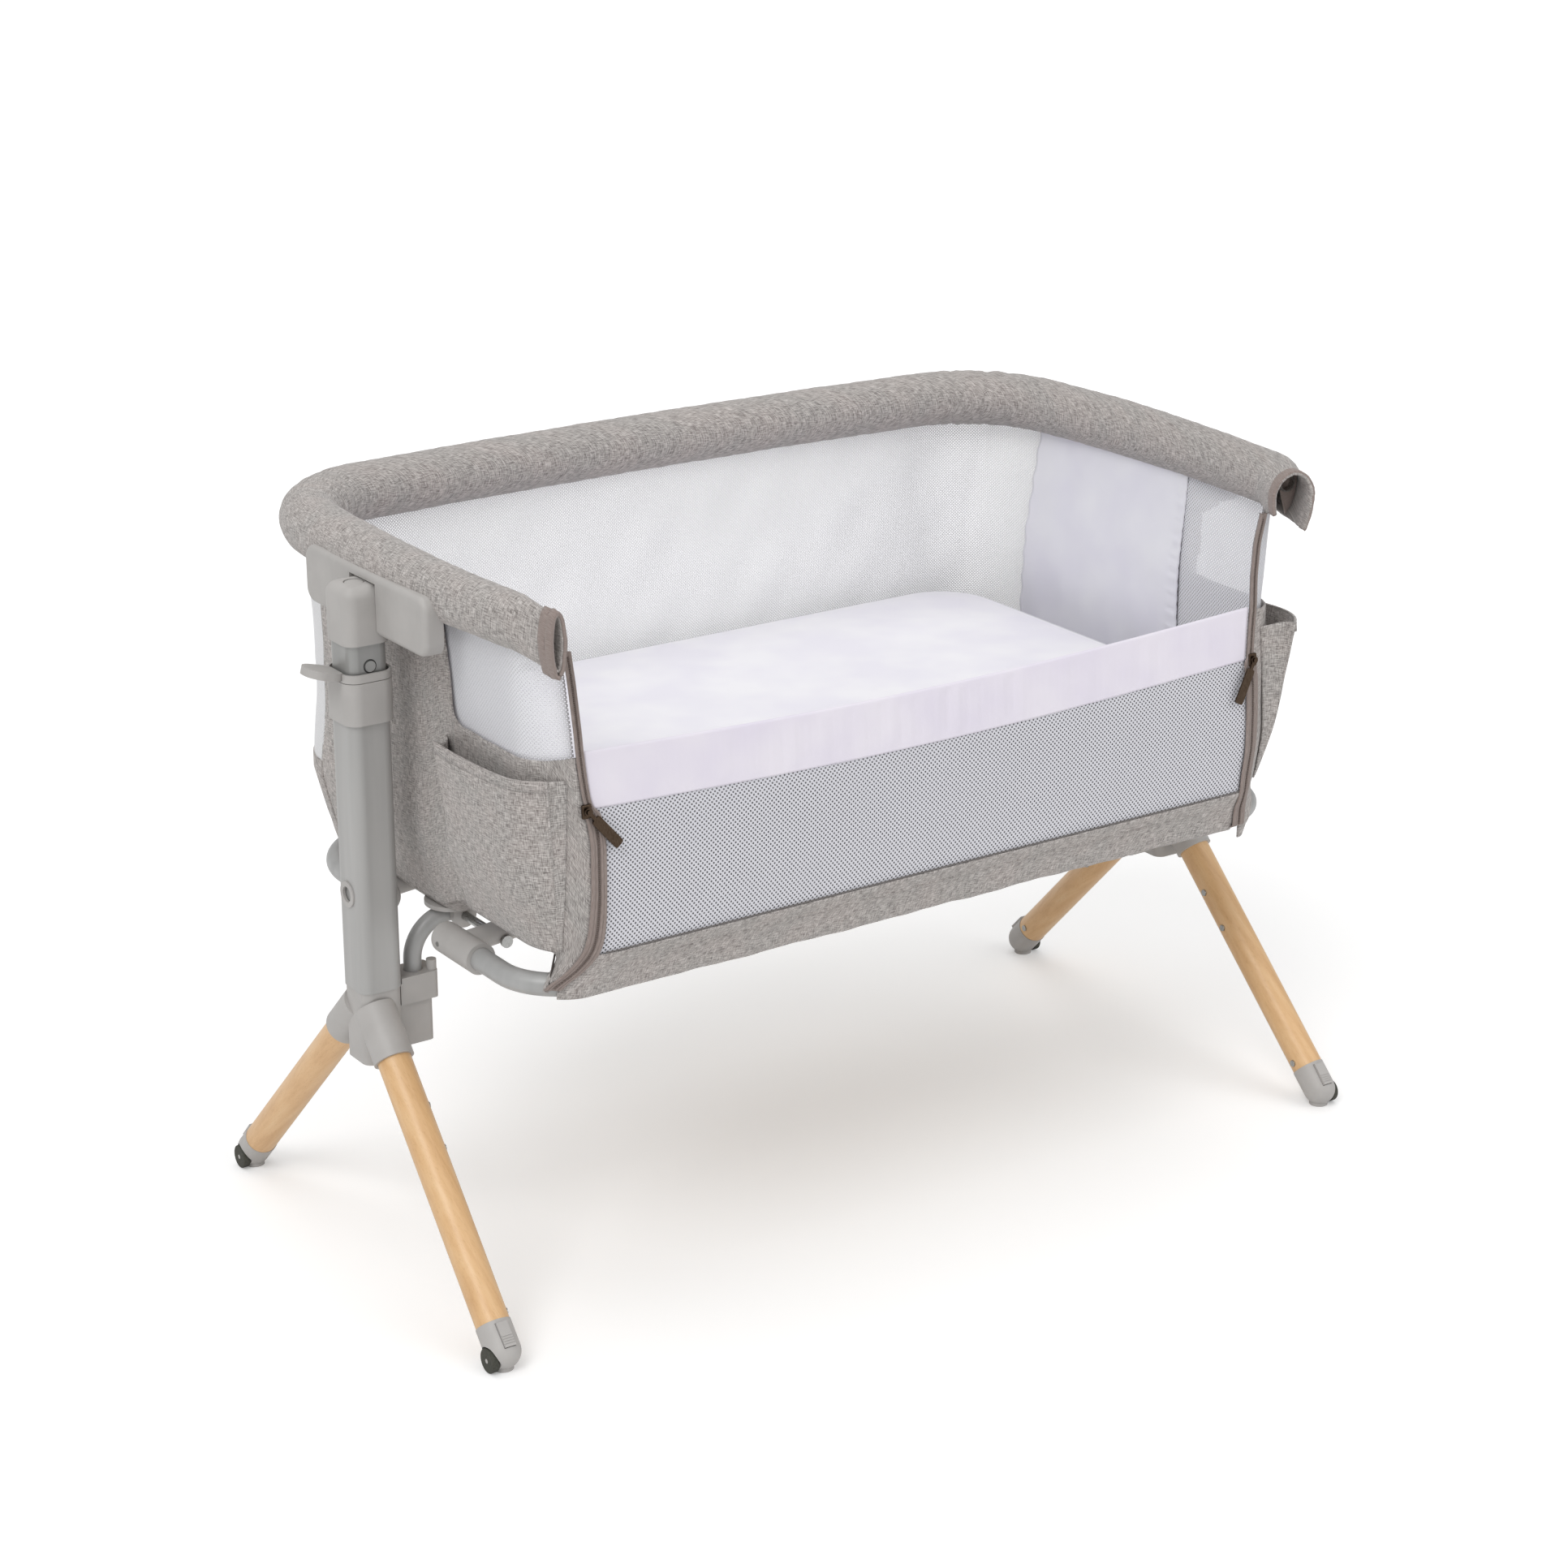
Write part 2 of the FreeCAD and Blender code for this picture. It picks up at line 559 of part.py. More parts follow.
def make_pockets():
    """A pleated pocket on the front half of each end: a wedge of cloth that stands open at the top."""
    top, low = size("window_sill") - 5.0, size("hem_height")
    rear, front = -size("pocket_rear"), -size("pocket_front")

    def wedge(side_inset, front_inset, back_gap, start, end):
        heights = [start] + [plan[0] for plan in WALL_PLANS if start < plan[0] < end] + [end]
        rings = []
        for height in heights:
            near = RAIL_X - plan_at(min(height, top))[1] + back_gap
            reach = 3.0 + (size("pocket_reach") - 3.0) * (height - low) / (top - low)
            far = RAIL_X - plan_at(min(height, top))[1] + reach - front_inset
            corners = [Vector(near, rear - side_inset, height), Vector(far, rear - side_inset, height),
                       Vector(far, front + side_inset, height), Vector(near, front + side_inset, height)]
            rings.append(Part.makePolygon(corners + corners[:1]))
        return Part.makeLoft(rings, True, True)

    outer = wedge(0.0, 0.0, 0.3, low, top)
    inner = wedge(CLOTH, CLOTH, -2.0, low + 12.0, top + 10.0)
    keep(solid(both(outer.cut(inner)), "Pockets"), "side_pockets")


# ---------------------------------------------------------------- base, board and mattress
def base_path(turn):
    """The axis of a base tube with its corners' radius, in front, from its left end to its right end."""
    end = size("elbow_rear") + 22.0
    diagonal = turn * (1 - 1 / math.sqrt(2))

    def at(x, y):
        return Vector(x, y, BASE_Z)

    join_y, join_x = -(BASE_Y - turn), BASE_X - turn
    bend_x, bend_y = BASE_X - diagonal, -BASE_Y + diagonal
    runs = [Part.LineSegment(at(-BASE_X, -end), at(-BASE_X, join_y)),
            Part.Arc(at(-BASE_X, join_y), at(-bend_x, bend_y), at(-join_x, -BASE_Y)),
            Part.LineSegment(at(-join_x, -BASE_Y), at(join_x, -BASE_Y)),
            Part.Arc(at(join_x, -BASE_Y), at(bend_x, bend_y), at(BASE_X, join_y)),
            Part.LineSegment(at(BASE_X, join_y), at(BASE_X, -end))]
    return Part.Wire([stretch.toShape() for stretch in runs])


def make_base():
    tubes = []
    for turn in (size("base_corner_radius"), size("base_rear_radius")):
        path = base_path(turn)
        tubes.append(pipe(path, size("base_tube_radius")).cut(pipe(path, size("base_tube_radius") - 1.5)))
    tubes[1] = tubes[1].mirror(Vector(0, 0, 0), Vector(0, 1, 0))
    keep(solid(Part.makeCompound(tubes), "BaseTubes"), "base_tubes")
    stem_radius = size("elbow_radius") - 4.0
    stem_start = Vector(BASE_X, -size("stem_place"), BASE_Z)
    stem_end = Vector(PIVOT_X - 16.0, -size("stem_place"), BASE_Z + size("stem_rise"))
    length = size("elbow_front") - size("elbow_rear")
    body = Part.makeCylinder(size("elbow_radius"), length, Vector(BASE_X, -size("elbow_rear"), BASE_Z),
                             Vector(0, -1, 0))
    rim = [edge for edge in body.Edges if abs(edge.CenterOfMass.y + size("elbow_rear")) < 0.1]
    body = body.makeFillet(4.0, rim)
    stem = Part.makeCylinder(stem_radius, (stem_end - stem_start).Length, stem_start, stem_end - stem_start)
    tube_end = path.OrderedVertexes[-1].Point + Vector(0, 0.2, 0)
    bore = Part.makeCylinder(size("base_tube_radius") + 0.1, length, tube_end, Vector(0, -1, 0))
    axle_start = Vector(PIVOT_X, -size("stem_place") - 30, PIVOT_Z)
    axle_room = Part.makeCylinder(size("axle_radius") + 0.1, 60, axle_start, Vector(0, 1, 0))
    screw_room = Part.makeCylinder(2.1, 12, Vector(BASE_X + size("elbow_radius") + 1, -ELBOW_SCREW_Y, BASE_Z),
                                   Vector(-1, 0, 0))
    elbow = body.fuse(stem).cut(bore).cut(axle_room).cut(screw_room).removeSplitter()
    elbow_rear = elbow.mirror(Vector(0, 0, 0), Vector(0, 1, 0))
    keep(solid(Part.makeCompound([elbow, elbow_rear, mirrored(elbow), mirrored(elbow_rear)]), "Elbows"),
         "base_elbows")


def make_board():
    body = new_body("Board")
    pad(body, "%g" % BOARD_Z, "Sizes.board_thickness",
        ("2 * (Sizes.base_half_length - Sizes.base_corner_radius - Sizes.board_inset)",
         "2 * (Sizes.base_half_depth + 5)", "45"))
    keep(body, "mattress_board")
    floor_plan = plan_at(FLOOR_Z)
    inset = CLOTH + 0.3
    half_x = RAIL_X - floor_plan[1] - inset
    low_y, high_y = -(RAIL_Y - floor_plan[3] - inset), RAIL_Y - floor_plan[2] - inset
    sheet_body = Part.makeBox(2 * half_x, high_y - low_y, 1.5, Vector(-half_x, low_y, FLOOR_Z))
    uprights = [edge for edge in sheet_body.Edges if abs(edge.tangentAt(0).z) > 0.9]
    keep(solid(sheet_body.makeFillet(58.0, uprights), "Floor"), "floor_panel")


def make_mattress():
    """Drawn-in sides with a rounded rim and a crowned top."""
    foot = FLOOR_Z + 2.0
    rim = foot + size("mattress_thickness")
    plan = plan_at(foot + 20.0)
    gap = size("mattress_gap") + CLOTH + size("lining_gap")
    half_x = RAIL_X - plan[1] - size("mattress_end_gap") - CLOTH - size("lining_gap")
    low_y = -(RAIL_Y - plan[3] - gap)
    high_y = RAIL_Y - plan[2] - gap + 4.0
    middle_y = (low_y + high_y) / 2
    half_y = (high_y - low_y) / 2
    crown = size("mattress_crown")
    steps = [(foot, 7.0), (foot + 3.0, 2.5), (foot + 10.0, 0.0), (foot + 32.0, 3.5), (foot + 52.0, 3.0),
             (rim - 10.0, 0.0), (rim - 3.0, 2.5), (rim, 8.0), (rim + 0.45 * crown, 32.0),
             (rim + 0.8 * crown, 75.0), (rim + 0.95 * crown, 120.0), (rim + crown, 165.0)]
    rings = [rounded_ring(half_x - inset, half_y - inset, max(58.0 - 0.25 * inset, 18.0), middle_y, height)
             for height, inset in steps]
    keep(solid(Part.makeLoft(rings, True, True), "Mattress"), "mattress")


def rounded_ring(half_x, half_y, turn, middle_y, height):
    turn = min(turn, half_x - 1, half_y - 1)
    d = turn * (1 - 1 / math.sqrt(2))
    edges = []
    corners = ((1, -1), (1, 1), (-1, 1), (-1, -1))

    def at(x, y):
        return Vector(x, middle_y + y, height)

    for index, (sx, sy) in enumerate(corners):
        along_x = at(sx * (half_x - turn), sy * half_y)
        along_y = at(sx * half_x, sy * (half_y - turn))
        middle = at(sx * (half_x - d), sy * (half_y - d))
        start, end = (along_x, along_y) if index % 2 == 0 else (along_y, along_x)
        edges.append(Part.Arc(start, middle, end))
    loop = []
    for index, arc in enumerate(edges):
        loop.append(arc.toShape())
        following = edges[(index + 1) % 4]
        loop.append(Part.LineSegment(arc.EndPoint, following.StartPoint).toShape())
    return Part.Wire(loop)


# ---------------------------------------------------------------- pivots
def make_pivots():
    """A D-shaped plate under the board at each end, with two ears for the fold axle."""
    plates = []
    bolts = []
    ear = size("axle_radius") + 7.0
    ear_start = size("brace_radius") + 0.5
    plate_foot = PIVOT_Z + ear_start
    plate_height = BOARD_Z - plate_foot
    reach = size("stem_place") + size("elbow_radius") - 3.0
    for name, sign in SIDES:
        centre = Vector(sign * (PIVOT_X + 2.0), 0, plate_foot)
        inner_x = sign * (PIVOT_X - PLATE_REACH)
        corner = Vector(min(inner_x, centre.x), -PLATE_RADIUS, plate_foot)
        plate = Part.makeCylinder(PLATE_RADIUS, plate_height, centre)
        plate = plate.fuse(Part.makeBox(abs(inner_x - centre.x), 2 * PLATE_RADIUS, plate_height, corner))
        for y_sign in (-1, 1):
            start = Vector(sign * PIVOT_X, y_sign * ear_start, PIVOT_Z)
            cheek = Part.makeCylinder(ear, EAR_WIDTH, start, Vector(0, y_sign, 0))
            low_y = min(start.y, start.y + EAR_WIDTH * y_sign)
            root = Part.makeBox(2 * ear, EAR_WIDTH, BOARD_Z - PIVOT_Z, Vector(start.x - ear, low_y, PIVOT_Z))
            plate = plate.fuse([cheek, root])
        hole_start = Vector(sign * PIVOT_X, -reach, PIVOT_Z)
        hole = Part.makeCylinder(size("axle_radius") + 0.1, 2 * reach, hole_start, Vector(0, 1, 0))
        plates.append(plate.cut(hole).removeSplitter())
        bolts.append(fold_axle(sign, reach))
        for y_sign in (-1, 1):
            start = Vector(sign * (BASE_X + size("elbow_radius") + 0.8), y_sign * ELBOW_SCREW_Y, BASE_Z)
            bolts.append(Part.makeCylinder(2.0, 11.0, start, Vector(-sign, 0, 0)))
    keep(solid(Part.makeCompound(plates), "PivotBrackets"), "pivot_brackets")
    keep(solid(Part.makeCompound(bolts), "Bolts"), "fold_axles_and_screws")


def fold_axle(sign, reach):
    """One long bolt through the two stems, the bracket's ears and the brace."""
    start = Vector(sign * PIVOT_X, -reach, PIVOT_Z)
    rod = Part.makeCylinder(size("axle_radius"), 2 * reach, start, Vector(0, 1, 0))
    for y_sign in (-1, 1):
        seat = Vector(sign * PIVOT_X, y_sign * (reach - 0.6), PIVOT_Z)
        rod = rod.fuse(Part.makeCylinder(size("axle_radius") + 1.5, 3.0, seat, Vector(0, y_sign, 0)))
    return rod


# ---------------------------------------------------------------- wing brackets
def make_wings():
    """A plate beside each end of the rail, open in the middle for the stand's head and joined above it."""
    wings = []
    for name, sign in SIDES:
        inner_x = sign * (WING_FACE_X - size("wing_thickness"))
        low_x = min(sign * WING_FACE_X, inner_x)
        half = size("wing_half_length")
        foot, tall = size("wing_foot"), size("wing_height")
        plate = Part.makeBox(size("wing_thickness"), 2 * half, tall, Vector(low_x, -half, foot))
        across = [edge for edge in plate.Edges if abs(edge.tangentAt(0).x) > 0.9]
        plate = plate.makeFillet(13.0, across)
        rim = [edge for edge in plate.Edges if abs(edge.CenterOfMass.x - sign * WING_FACE_X) < 0.01]
        plate = plate.makeFillet(5.0, rim)
        plate = plate.cut(head_slot(sign * POST_X - 30))
        web_low = min(sign * WEB_X, sign * (WEB_X - WEB_THICKNESS))
        web = Part.makeBox(WEB_THICKNESS, 2 * WEB_HALF, tall, Vector(web_low, -WEB_HALF, foot))
        plate = plate.fuse(web).cut(head_slot(min(sign * WEB_X, sign * (WEB_X + 60))))
        for place in BOSS_PLACES:
            start = Vector(inner_x, place, BOSS_Z)
            boss_length = abs(inner_x) - RAIL_X - 0.3
            plate = plate.fuse(Part.makeCylinder(BOSS_RADIUS, boss_length, start, Vector(-sign, 0, 0)))
        plate = plate.cut(pipe(RAIL_PIPE, size("rail_tube_radius") + 0.4))
        wings.append(plate.removeSplitter())
    keep(solid(Part.makeCompound(wings), "Wings"), "wing_brackets")


def head_slot(low_x):
    """The room for the stand's head, from a given X outwards, up to just above the head."""
    low = size("wing_foot") - 50
    return Part.makeBox(60, 2 * SLOT_HALF, SLOT_TOP - low, Vector(low_x, -SLOT_HALF, low))


# ---------------------------------------------------------------- telescopic posts
OUTER = ("Sizes.post_width", "Sizes.post_depth", "Sizes.post_corner")
STEP_IN = "2 * (Sizes.post_wall + Sizes.post_gap)"
INNER = ("Sizes.post_width - " + STEP_IN, "Sizes.post_depth - " + STEP_IN,
         "Sizes.post_corner - Sizes.post_wall - Sizes.post_gap")


def grown(loop, extra):
    """A loop made larger all round by an expression."""
    width, depth, corner = loop
    return ("%s + 2 * (%s)" % (width, extra), "%s + 2 * (%s)" % (depth, extra), "%s + (%s)" % (corner, extra))


def make_carrier(name, sign):
    """Inner tube, head cap with its button, and the snap button; they stay beside the rail."""
    inner = new_body("InnerPost", sign * POST_X)
    inner_foot = "(Sizes.seam_height + 22)"
    pad(inner, inner_foot, "Sizes.cap_foot + Sizes.cap_height - 13 - " + inner_foot,
        INNER, grown(INNER, "-Sizes.inner_wall"))
    hole_start = Vector(sign * POST_X, -size("post_depth"), size("snap_height"))
    hole = cylinder("4.9", "Sizes.post_depth", hole_start, Vector(0, 1, 0))
    keep(cut(inner, hole), name + "_inner_post")
    snap_start = Vector(sign * POST_X, -size("post_depth") / 2 + 0.2, size("snap_height"))
    keep(cylinder("4.8", "7", snap_start, Vector(0, 1, 0)), name + "_snap_button")
    cap = new_body("HeadCap", sign * POST_X)
    shell = grown(INNER, "Sizes.cap_wall")
    pad(cap, "Sizes.cap_foot", "Sizes.cap_height", shell)
    top = size("cap_foot") + size("cap_height")
    round_edges(cap, "10", lambda middle: abs(middle.z - top) < 0.01)
    pocket(cap, "Sizes.cap_foot + Sizes.cap_height - 12.7", "Sizes.cap_height", grown(INNER, "0.15"))
    middle_x = sign * (POST_X + 1.5)
    well = cylinder("9", "12", Vector(middle_x, 0, top - 11.5), Vector(0, 0, 1))
    keep(cut(cap, well), name + "_head_cap")
    button = cylinder("8.4", "7.5", Vector(middle_x, 0, top - 7.9), Vector(0, 0, 1))
    keep(fillet(button, 1.2, lambda middle: middle.z > top - 1), name + "_head_button")


def make_outer(name, sign):
    """Outer tube with its collar, lever and grommet."""
    outer = new_body("OuterPost", sign * POST_X)
    top = "(Sizes.collar_foot + Sizes.collar_height - 3)"
    pad(outer, "Sizes.seam_height", top + " - Sizes.seam_height", OUTER, grown(OUTER, "-Sizes.post_wall"))
    hole_start = Vector(sign * (POST_X + size("post_width") / 2 - 6), 0, size("grommet_height"))
    hole = cylinder("9.0", "12", hole_start, Vector(sign, 0, 0))
    keep(cut(outer, hole), name + "_outer_post")
    rim_start = Vector(sign * (POST_X + size("post_width") / 2 + 0.1), 0, size("grommet_height"))
    rim = cylinder("11.5", "1.4", rim_start, Vector(sign, 0, 0))
    neck = cylinder("8.8", "2.6", rim_start + Vector(-sign * 1.2, 0, 0), Vector(sign, 0, 0))
    bore = cylinder("7.0", "12", hole_start, Vector(sign, 0, 0))
    keep(cut(fuse(rim, neck), bore), name + "_post_grommet")
    collar = new_body("Collar", sign * POST_X)
    body_loop = grown(OUTER, "Sizes.collar_wall")
    pad(collar, "Sizes.collar_foot", "Sizes.collar_height", body_loop, grown(INNER, "0.45"))
    pocket(collar, "Sizes.collar_foot + Sizes.collar_height - 3", "Sizes.collar_height",
           grown(OUTER, "0.1"))
    keep(collar, name + "_height_collar")
    lever = new_body("Lever", sign * POST_X)
    lever_foot = "Sizes.collar_foot + Sizes.collar_height + 0.6"
    pad(lever, lever_foot, "7", body_loop, grown(INNER, "2.3"))
    tongue = new_body("Tongue")
    root = Vector(sign * (POST_X + size("post_width") / 2 - 0.5), 0, number(lever_foot))
    tongue.Placement = Placement(root, Rotation(Vector(0, 1, 0), -sign * TONGUE_TILT))
    tongue.Placement = tongue.Placement * Placement(Vector(sign * 17, 0, 0), Rotation())
    pad(tongue, "0", "7", ("34", "30", "13"))
    tongue_room = new_body("TongueRoom", sign * POST_X)
    pad(tongue_room, lever_foot, "14", grown(INNER, "2.3"))
    keep(cut(fuse(lever, tongue), tongue_room), name + "_height_lever")


# ---------------------------------------------------------------- hub and legs
def leg_axis(sign, y_sign):
    """Apex, foot and direction of one leg's axis."""
    apex = Vector(sign * (POST_X + size("leg_apex_lean")), 0, size("leg_apex_height"))
    foot = Vector(sign * (POST_X + size("foot_lean")), y_sign * size("foot_reach"), 0)
    return apex, foot, (foot - apex).normalize()


def at_reach(sign, y_sign, reach):
    """The point on a leg's axis that lies a given distance from the middle along Y."""
    apex, foot, direction = leg_axis(sign, y_sign)
    return apex + (foot - apex) * (reach / size("foot_reach"))


def at_height(sign, y_sign, height):
    apex, foot, direction = leg_axis(sign, y_sign)
    return foot + (apex - foot) * (height / size("leg_apex_height"))


def make_hub(name, sign):
    """The moulded hub below the post, with a socket for each leg."""
    core = new_body("HubCore", sign * POST_X)
    hub_loop = grown(OUTER, "-Sizes.hub_step")
    pad(core, "Sizes.hub_foot", "Sizes.seam_height - Sizes.hub_foot", hub_loop)
    pieces, bores = [core], []
    for y_sign in (-1, 1):
        apex, foot, direction = leg_axis(sign, y_sign)
        start = at_reach(sign, y_sign, 10.0)
        mouth = at_reach(sign, y_sign, size("socket_reach"))
        depth = "%g" % (mouth - start).Length
        socket = cylinder("Sizes.leg_radius + Sizes.socket_wall", depth, start, direction)
        pieces.append(socket)
        root = at_reach(sign, y_sign, size("leg_root") - 1.0)
        bores.append(cylinder("Sizes.leg_radius + 0.15", "80", root, direction))
    hub = cut(fuse(*pieces), *bores)
    keep(hub, name + "_leg_hub")


def make_brace(name, sign):
    """The bent brace tube and the guide on the hub that its upright slides in."""
    upright_x = POST_X - size("brace_inset")
    turn = size("brace_bend")
    d = turn * (1 - 1 / math.sqrt(2))
    foot_z = size("clip_foot") + 4.0
    points = [Vector(sign * x, 0, z) for x, z in
              ((upright_x, foot_z), (upright_x, PIVOT_Z - turn), (upright_x - d, PIVOT_Z - d),
               (upright_x - turn, PIVOT_Z), (PIVOT_X, PIVOT_Z))]
    path = Part.Wire([Part.LineSegment(points[0], points[1]).toShape(),
                      Part.Arc(points[1], points[2], points[3]).toShape(),
                      Part.LineSegment(points[3], points[4]).toShape()])
    eye = Part.makeSphere(size("brace_radius"), points[4])
    tube = pipe(path, size("brace_radius")).fuse(eye)
    hole_start = Vector(sign * PIVOT_X, -20, PIVOT_Z)
    hole = Part.makeCylinder(size("axle_radius") + 0.08, 40, hole_start, Vector(0, 1, 0))
    keep(solid(tube.cut(hole), "Brace"), name + "_brace_tube")
    hub_face = POST_X - size("post_width") / 2 + size("hub_step")
    outer_x = upright_x - 13.0
    low, high = size("clip_foot"), size("clip_top")
    collar_foot = high - 25.0

    def guide_block(far_x, half_y, z_low, z_high):
        low_x = min(sign * hub_face, sign * far_x)
        return Part.makeBox(abs(hub_face - far_x), 2 * half_y, z_high - z_low, Vector(low_x, -half_y, z_low))

    upper = guide_block(outer_x - 5.0, 15.0, collar_foot, high)
    lower = guide_block(outer_x, 12.5, low, collar_foot + 2.0)
    body = upper.fuse(lower).removeSplitter()
    uprights = [edge for edge in body.Edges if abs(edge.tangentAt(edge.FirstParameter).z) > 0.9]
    uprights = [edge for edge in uprights if abs(abs(edge.CenterOfMass.x) - hub_face) > 2]
    body = body.makeFillet(5.0, uprights)
    tube_room = Part.makeCylinder(size("brace_radius") + 0.25, 200, Vector(sign * upright_x, 0, low + 2.0))
    post_face = POST_X - size("post_width") / 2 - 0.1
    post_room = Part.makeBox(20, 60, 60, Vector(min(sign * post_face, sign * (post_face + 20)), -30,
                                                size("seam_height")))
    knob = Part.makeCylinder(4.5, 10.0, Vector(sign * (outer_x - 0.5), -9.0, high - 0.5))
    guide = body.cut(tube_room).cut(post_room).fuse(knob).removeSplitter()
    keep(solid(guide, "Guide"), name + "_brace_guide")


def make_legs(name, sign):
    """Two beech legs, their foot boots, and the screws; wheels and brake tabs are their own pieces."""
    legs, boots, screws = [], [], []
    for y_sign, place in ((-1, "front"), (1, "back")):
        apex, foot, direction = leg_axis(sign, y_sign)
        root = at_reach(sign, y_sign, size("leg_root"))
        shoulder = at_height(sign, y_sign, size("boot_height"))
        tenon_end = at_height(sign, y_sign, size("boot_height") - TENON_DROP)
        leg = Part.makeCylinder(size("leg_radius"), (shoulder - root).Length, root, direction)
        tenon = Part.makeCylinder(TENON_RADIUS, (tenon_end - shoulder).Length, shoulder, direction)
        leg = leg.fuse(tenon)
        boots.append(boot(sign, y_sign, place, name, shoulder, direction))
        for reach in SCREW_REACHES:
            spot = at_reach(sign, y_sign, reach)
            head = spot + Vector(-sign * (size("leg_radius") - 1.0), 0, 0)
            screw = Part.makeCylinder(3.2, 2.0, head, Vector(-sign, 0, 0))
            leg = leg.cut(Part.makeCylinder(3.3, 10.0, head, Vector(-sign, 0, 0)))
            screws.append(screw)
        legs.append(leg)
    keep(solid(Part.makeCompound(legs), "Legs"), name + "_wood_legs")
    keep(solid(Part.makeCompound(boots), "Boots"), name + "_foot_boots")
    keep(solid(Part.makeCompound(screws), "Screws"), name + "_leg_screws")


def boot(sign, y_sign, place, name, shoulder, direction):
    """A moulded foot round the leg's end; it holds a small wheel outside and a brake tab in front."""
    radius = size("leg_radius") + 0.6
    ball_centre = at_height(sign, y_sign, radius + 0.4)
    shell = Part.makeCylinder(radius, (ball_centre - shoulder).Length, shoulder, direction)
    shell = shell.fuse(Part.makeSphere(radius, ball_centre))
    pad_ = Part.makeCylinder(9.0, 8.0, Vector(ball_centre.x, ball_centre.y, 0))
    shell = shell.fuse(pad_)
    tenon_length = (at_height(sign, y_sign, size("boot_height") - TENON_DROP) - shoulder).Length
    tenon_room = Part.makeCylinder(TENON_RADIUS + 0.15, tenon_length + 1.3, shoulder - direction, direction)
    wheel_r, wide = size("wheel_radius"), size("wheel_width")
    hub_x = abs(ball_centre.x) + 8.4
    wheel_centre = Vector(sign * (hub_x + 0.5), ball_centre.y, wheel_r)
    wheel_seat = Vector(sign * hub_x, ball_centre.y, wheel_r)
    wheel_room = Part.makeCylinder(wheel_r + 1.2, 30.0, wheel_seat, Vector(sign, 0, 0))
    down = Vector(0, direction.y, direction.z).normalize()
    outward = Vector(0, -down.z * y_sign, abs(down.y))
    tab_top = shoulder + direction * TAB_START + outward * (radius - TAB_DEPTH)
    tab_frame = Placement(tab_top, Rotation(down.cross(outward), down, outward, "ZYX"))
    slot = Part.makeBox(11.0, 23.0, 8.0, Vector(-5.5, 0, 0))
    tab = Part.makeBox(10.2, 22.2, TAB_DEPTH + 1.2, Vector(-5.1, 0.4, 0.3))
    for index in range(4):
        tab = tab.cut(Part.makeBox(12.0, 1.0, 2.0, Vector(-6.0, 13.0 + 2.2 * index, TAB_DEPTH + 1.0)))
    slot.Placement = tab_frame
    tab.Placement = tab_frame
    pin = Part.makeCylinder(PIN_RADIUS, wide + 0.5, wheel_seat, Vector(sign, 0, 0))
    shell = shell.cut(tenon_room).cut(wheel_room).cut(slot).fuse(pin)
    wheel = Part.makeCylinder(wheel_r, wide, wheel_centre, Vector(sign, 0, 0))
    rims = [edge for edge in wheel.Edges if isinstance(edge.Curve, Part.Circle)]
    wheel = wheel.makeFillet(1.2, rims)
    bore_start = wheel_centre - Vector(20 * sign, 0, 0)
    wheel = wheel.cut(Part.makeCylinder(PIN_RADIUS + 0.08, 40, bore_start, Vector(sign, 0, 0)))
    keep(solid(wheel, "Wheel"), "%s_%s_wheel" % (name, place))
    keep(solid(tab, "Tab"), "%s_%s_brake_tab" % (name, place))
    return shell.removeSplitter()


# ---------------------------------------------------------------- zip sliders
def make_sliders():
    """A slider on each zip, with a pull whose eye turns on the slider's post."""
    height = size("slider_height")
    low = plan_at(height - ZIP_STEP)
    face_y = -(RAIL_Y - plan_at(height)[3])
    lean = math.degrees(math.atan((plan_at(height)[3] - low[3]) / ZIP_STEP))
    for name, sign in SIDES:
        centre = Vector(sign * ZIP_X, face_y, height)
        lie = Placement(centre, Rotation(Vector(1, 0, 0), -lean))
        block_ = Part.makeBox(9.0, 3.5, 12.0, Vector(-4.5, -4.2, -6.0))
        block_ = block_.makeFillet(1.2, block_.Edges)
        post = Part.makeCylinder(1.2, 3.4, Vector(0, -3.9, 0), Vector(0, -1, 0))
        head = Part.makeCylinder(2.2, 0.8, Vector(0, -7.1, 0), Vector(0, -1, 0))
        slider = block_.fuse([post, head]).removeSplitter()
        slider.Placement = lie
        keep(solid(slider, "Slider"), name + "_zip_slider")
        eye = Part.makeCylinder(3.6, PULL_THICKNESS, Vector(0, -6.5, 0), Vector(0, 1, 0))
        neck = Part.makeBox(3.2, PULL_THICKNESS, 8.0, Vector(-1.6, -6.5, -10.0))
        tab = Part.makeBox(9.0, PULL_THICKNESS, 34.0, Vector(-4.5, -6.5, -43.0))
        tab = tab.makeFillet(2.0, [edge for edge in tab.Edges if abs(edge.tangentAt(0).y) > 0.9])
        eye_room = Part.makeCylinder(1.3, 10, Vector(0, -12, 0), Vector(0, 1, 0))
        pull = eye.fuse([neck, tab]).removeSplitter().cut(eye_room)
        pull.Placement = lie * Placement(Vector(), Rotation(Vector(0, 1, 0), PULL_TURN[name]))
        keep(solid(pull, "Pull"), name + "_zip_pull")


def build():
    make_top_rail()
    make_sleeve()
    make_walls()
    make_trim()
    make_pockets()
    make_base()
    make_board()
    make_mattress()
    make_pivots()
    make_wings()
    for name, sign in SIDES:
        make_carrier(name, sign)
        make_outer(name, sign)
        make_hub(name, sign)
        make_brace(name, sign)
        make_legs(name, sign)
    make_sliders()


build()
doc.recompute()

# The stands' plane is Y = 0 above; the crib's own origin is the middle of its outline.
MIDDLE_Y = (RAIL_Y + size("sleeve_radius") - size("foot_reach")) / 2
for item in PARTS:
    item.Placement = Placement(Vector(0, -MIDDLE_Y, 0), Rotation()) * item.Placement
doc.recompute()

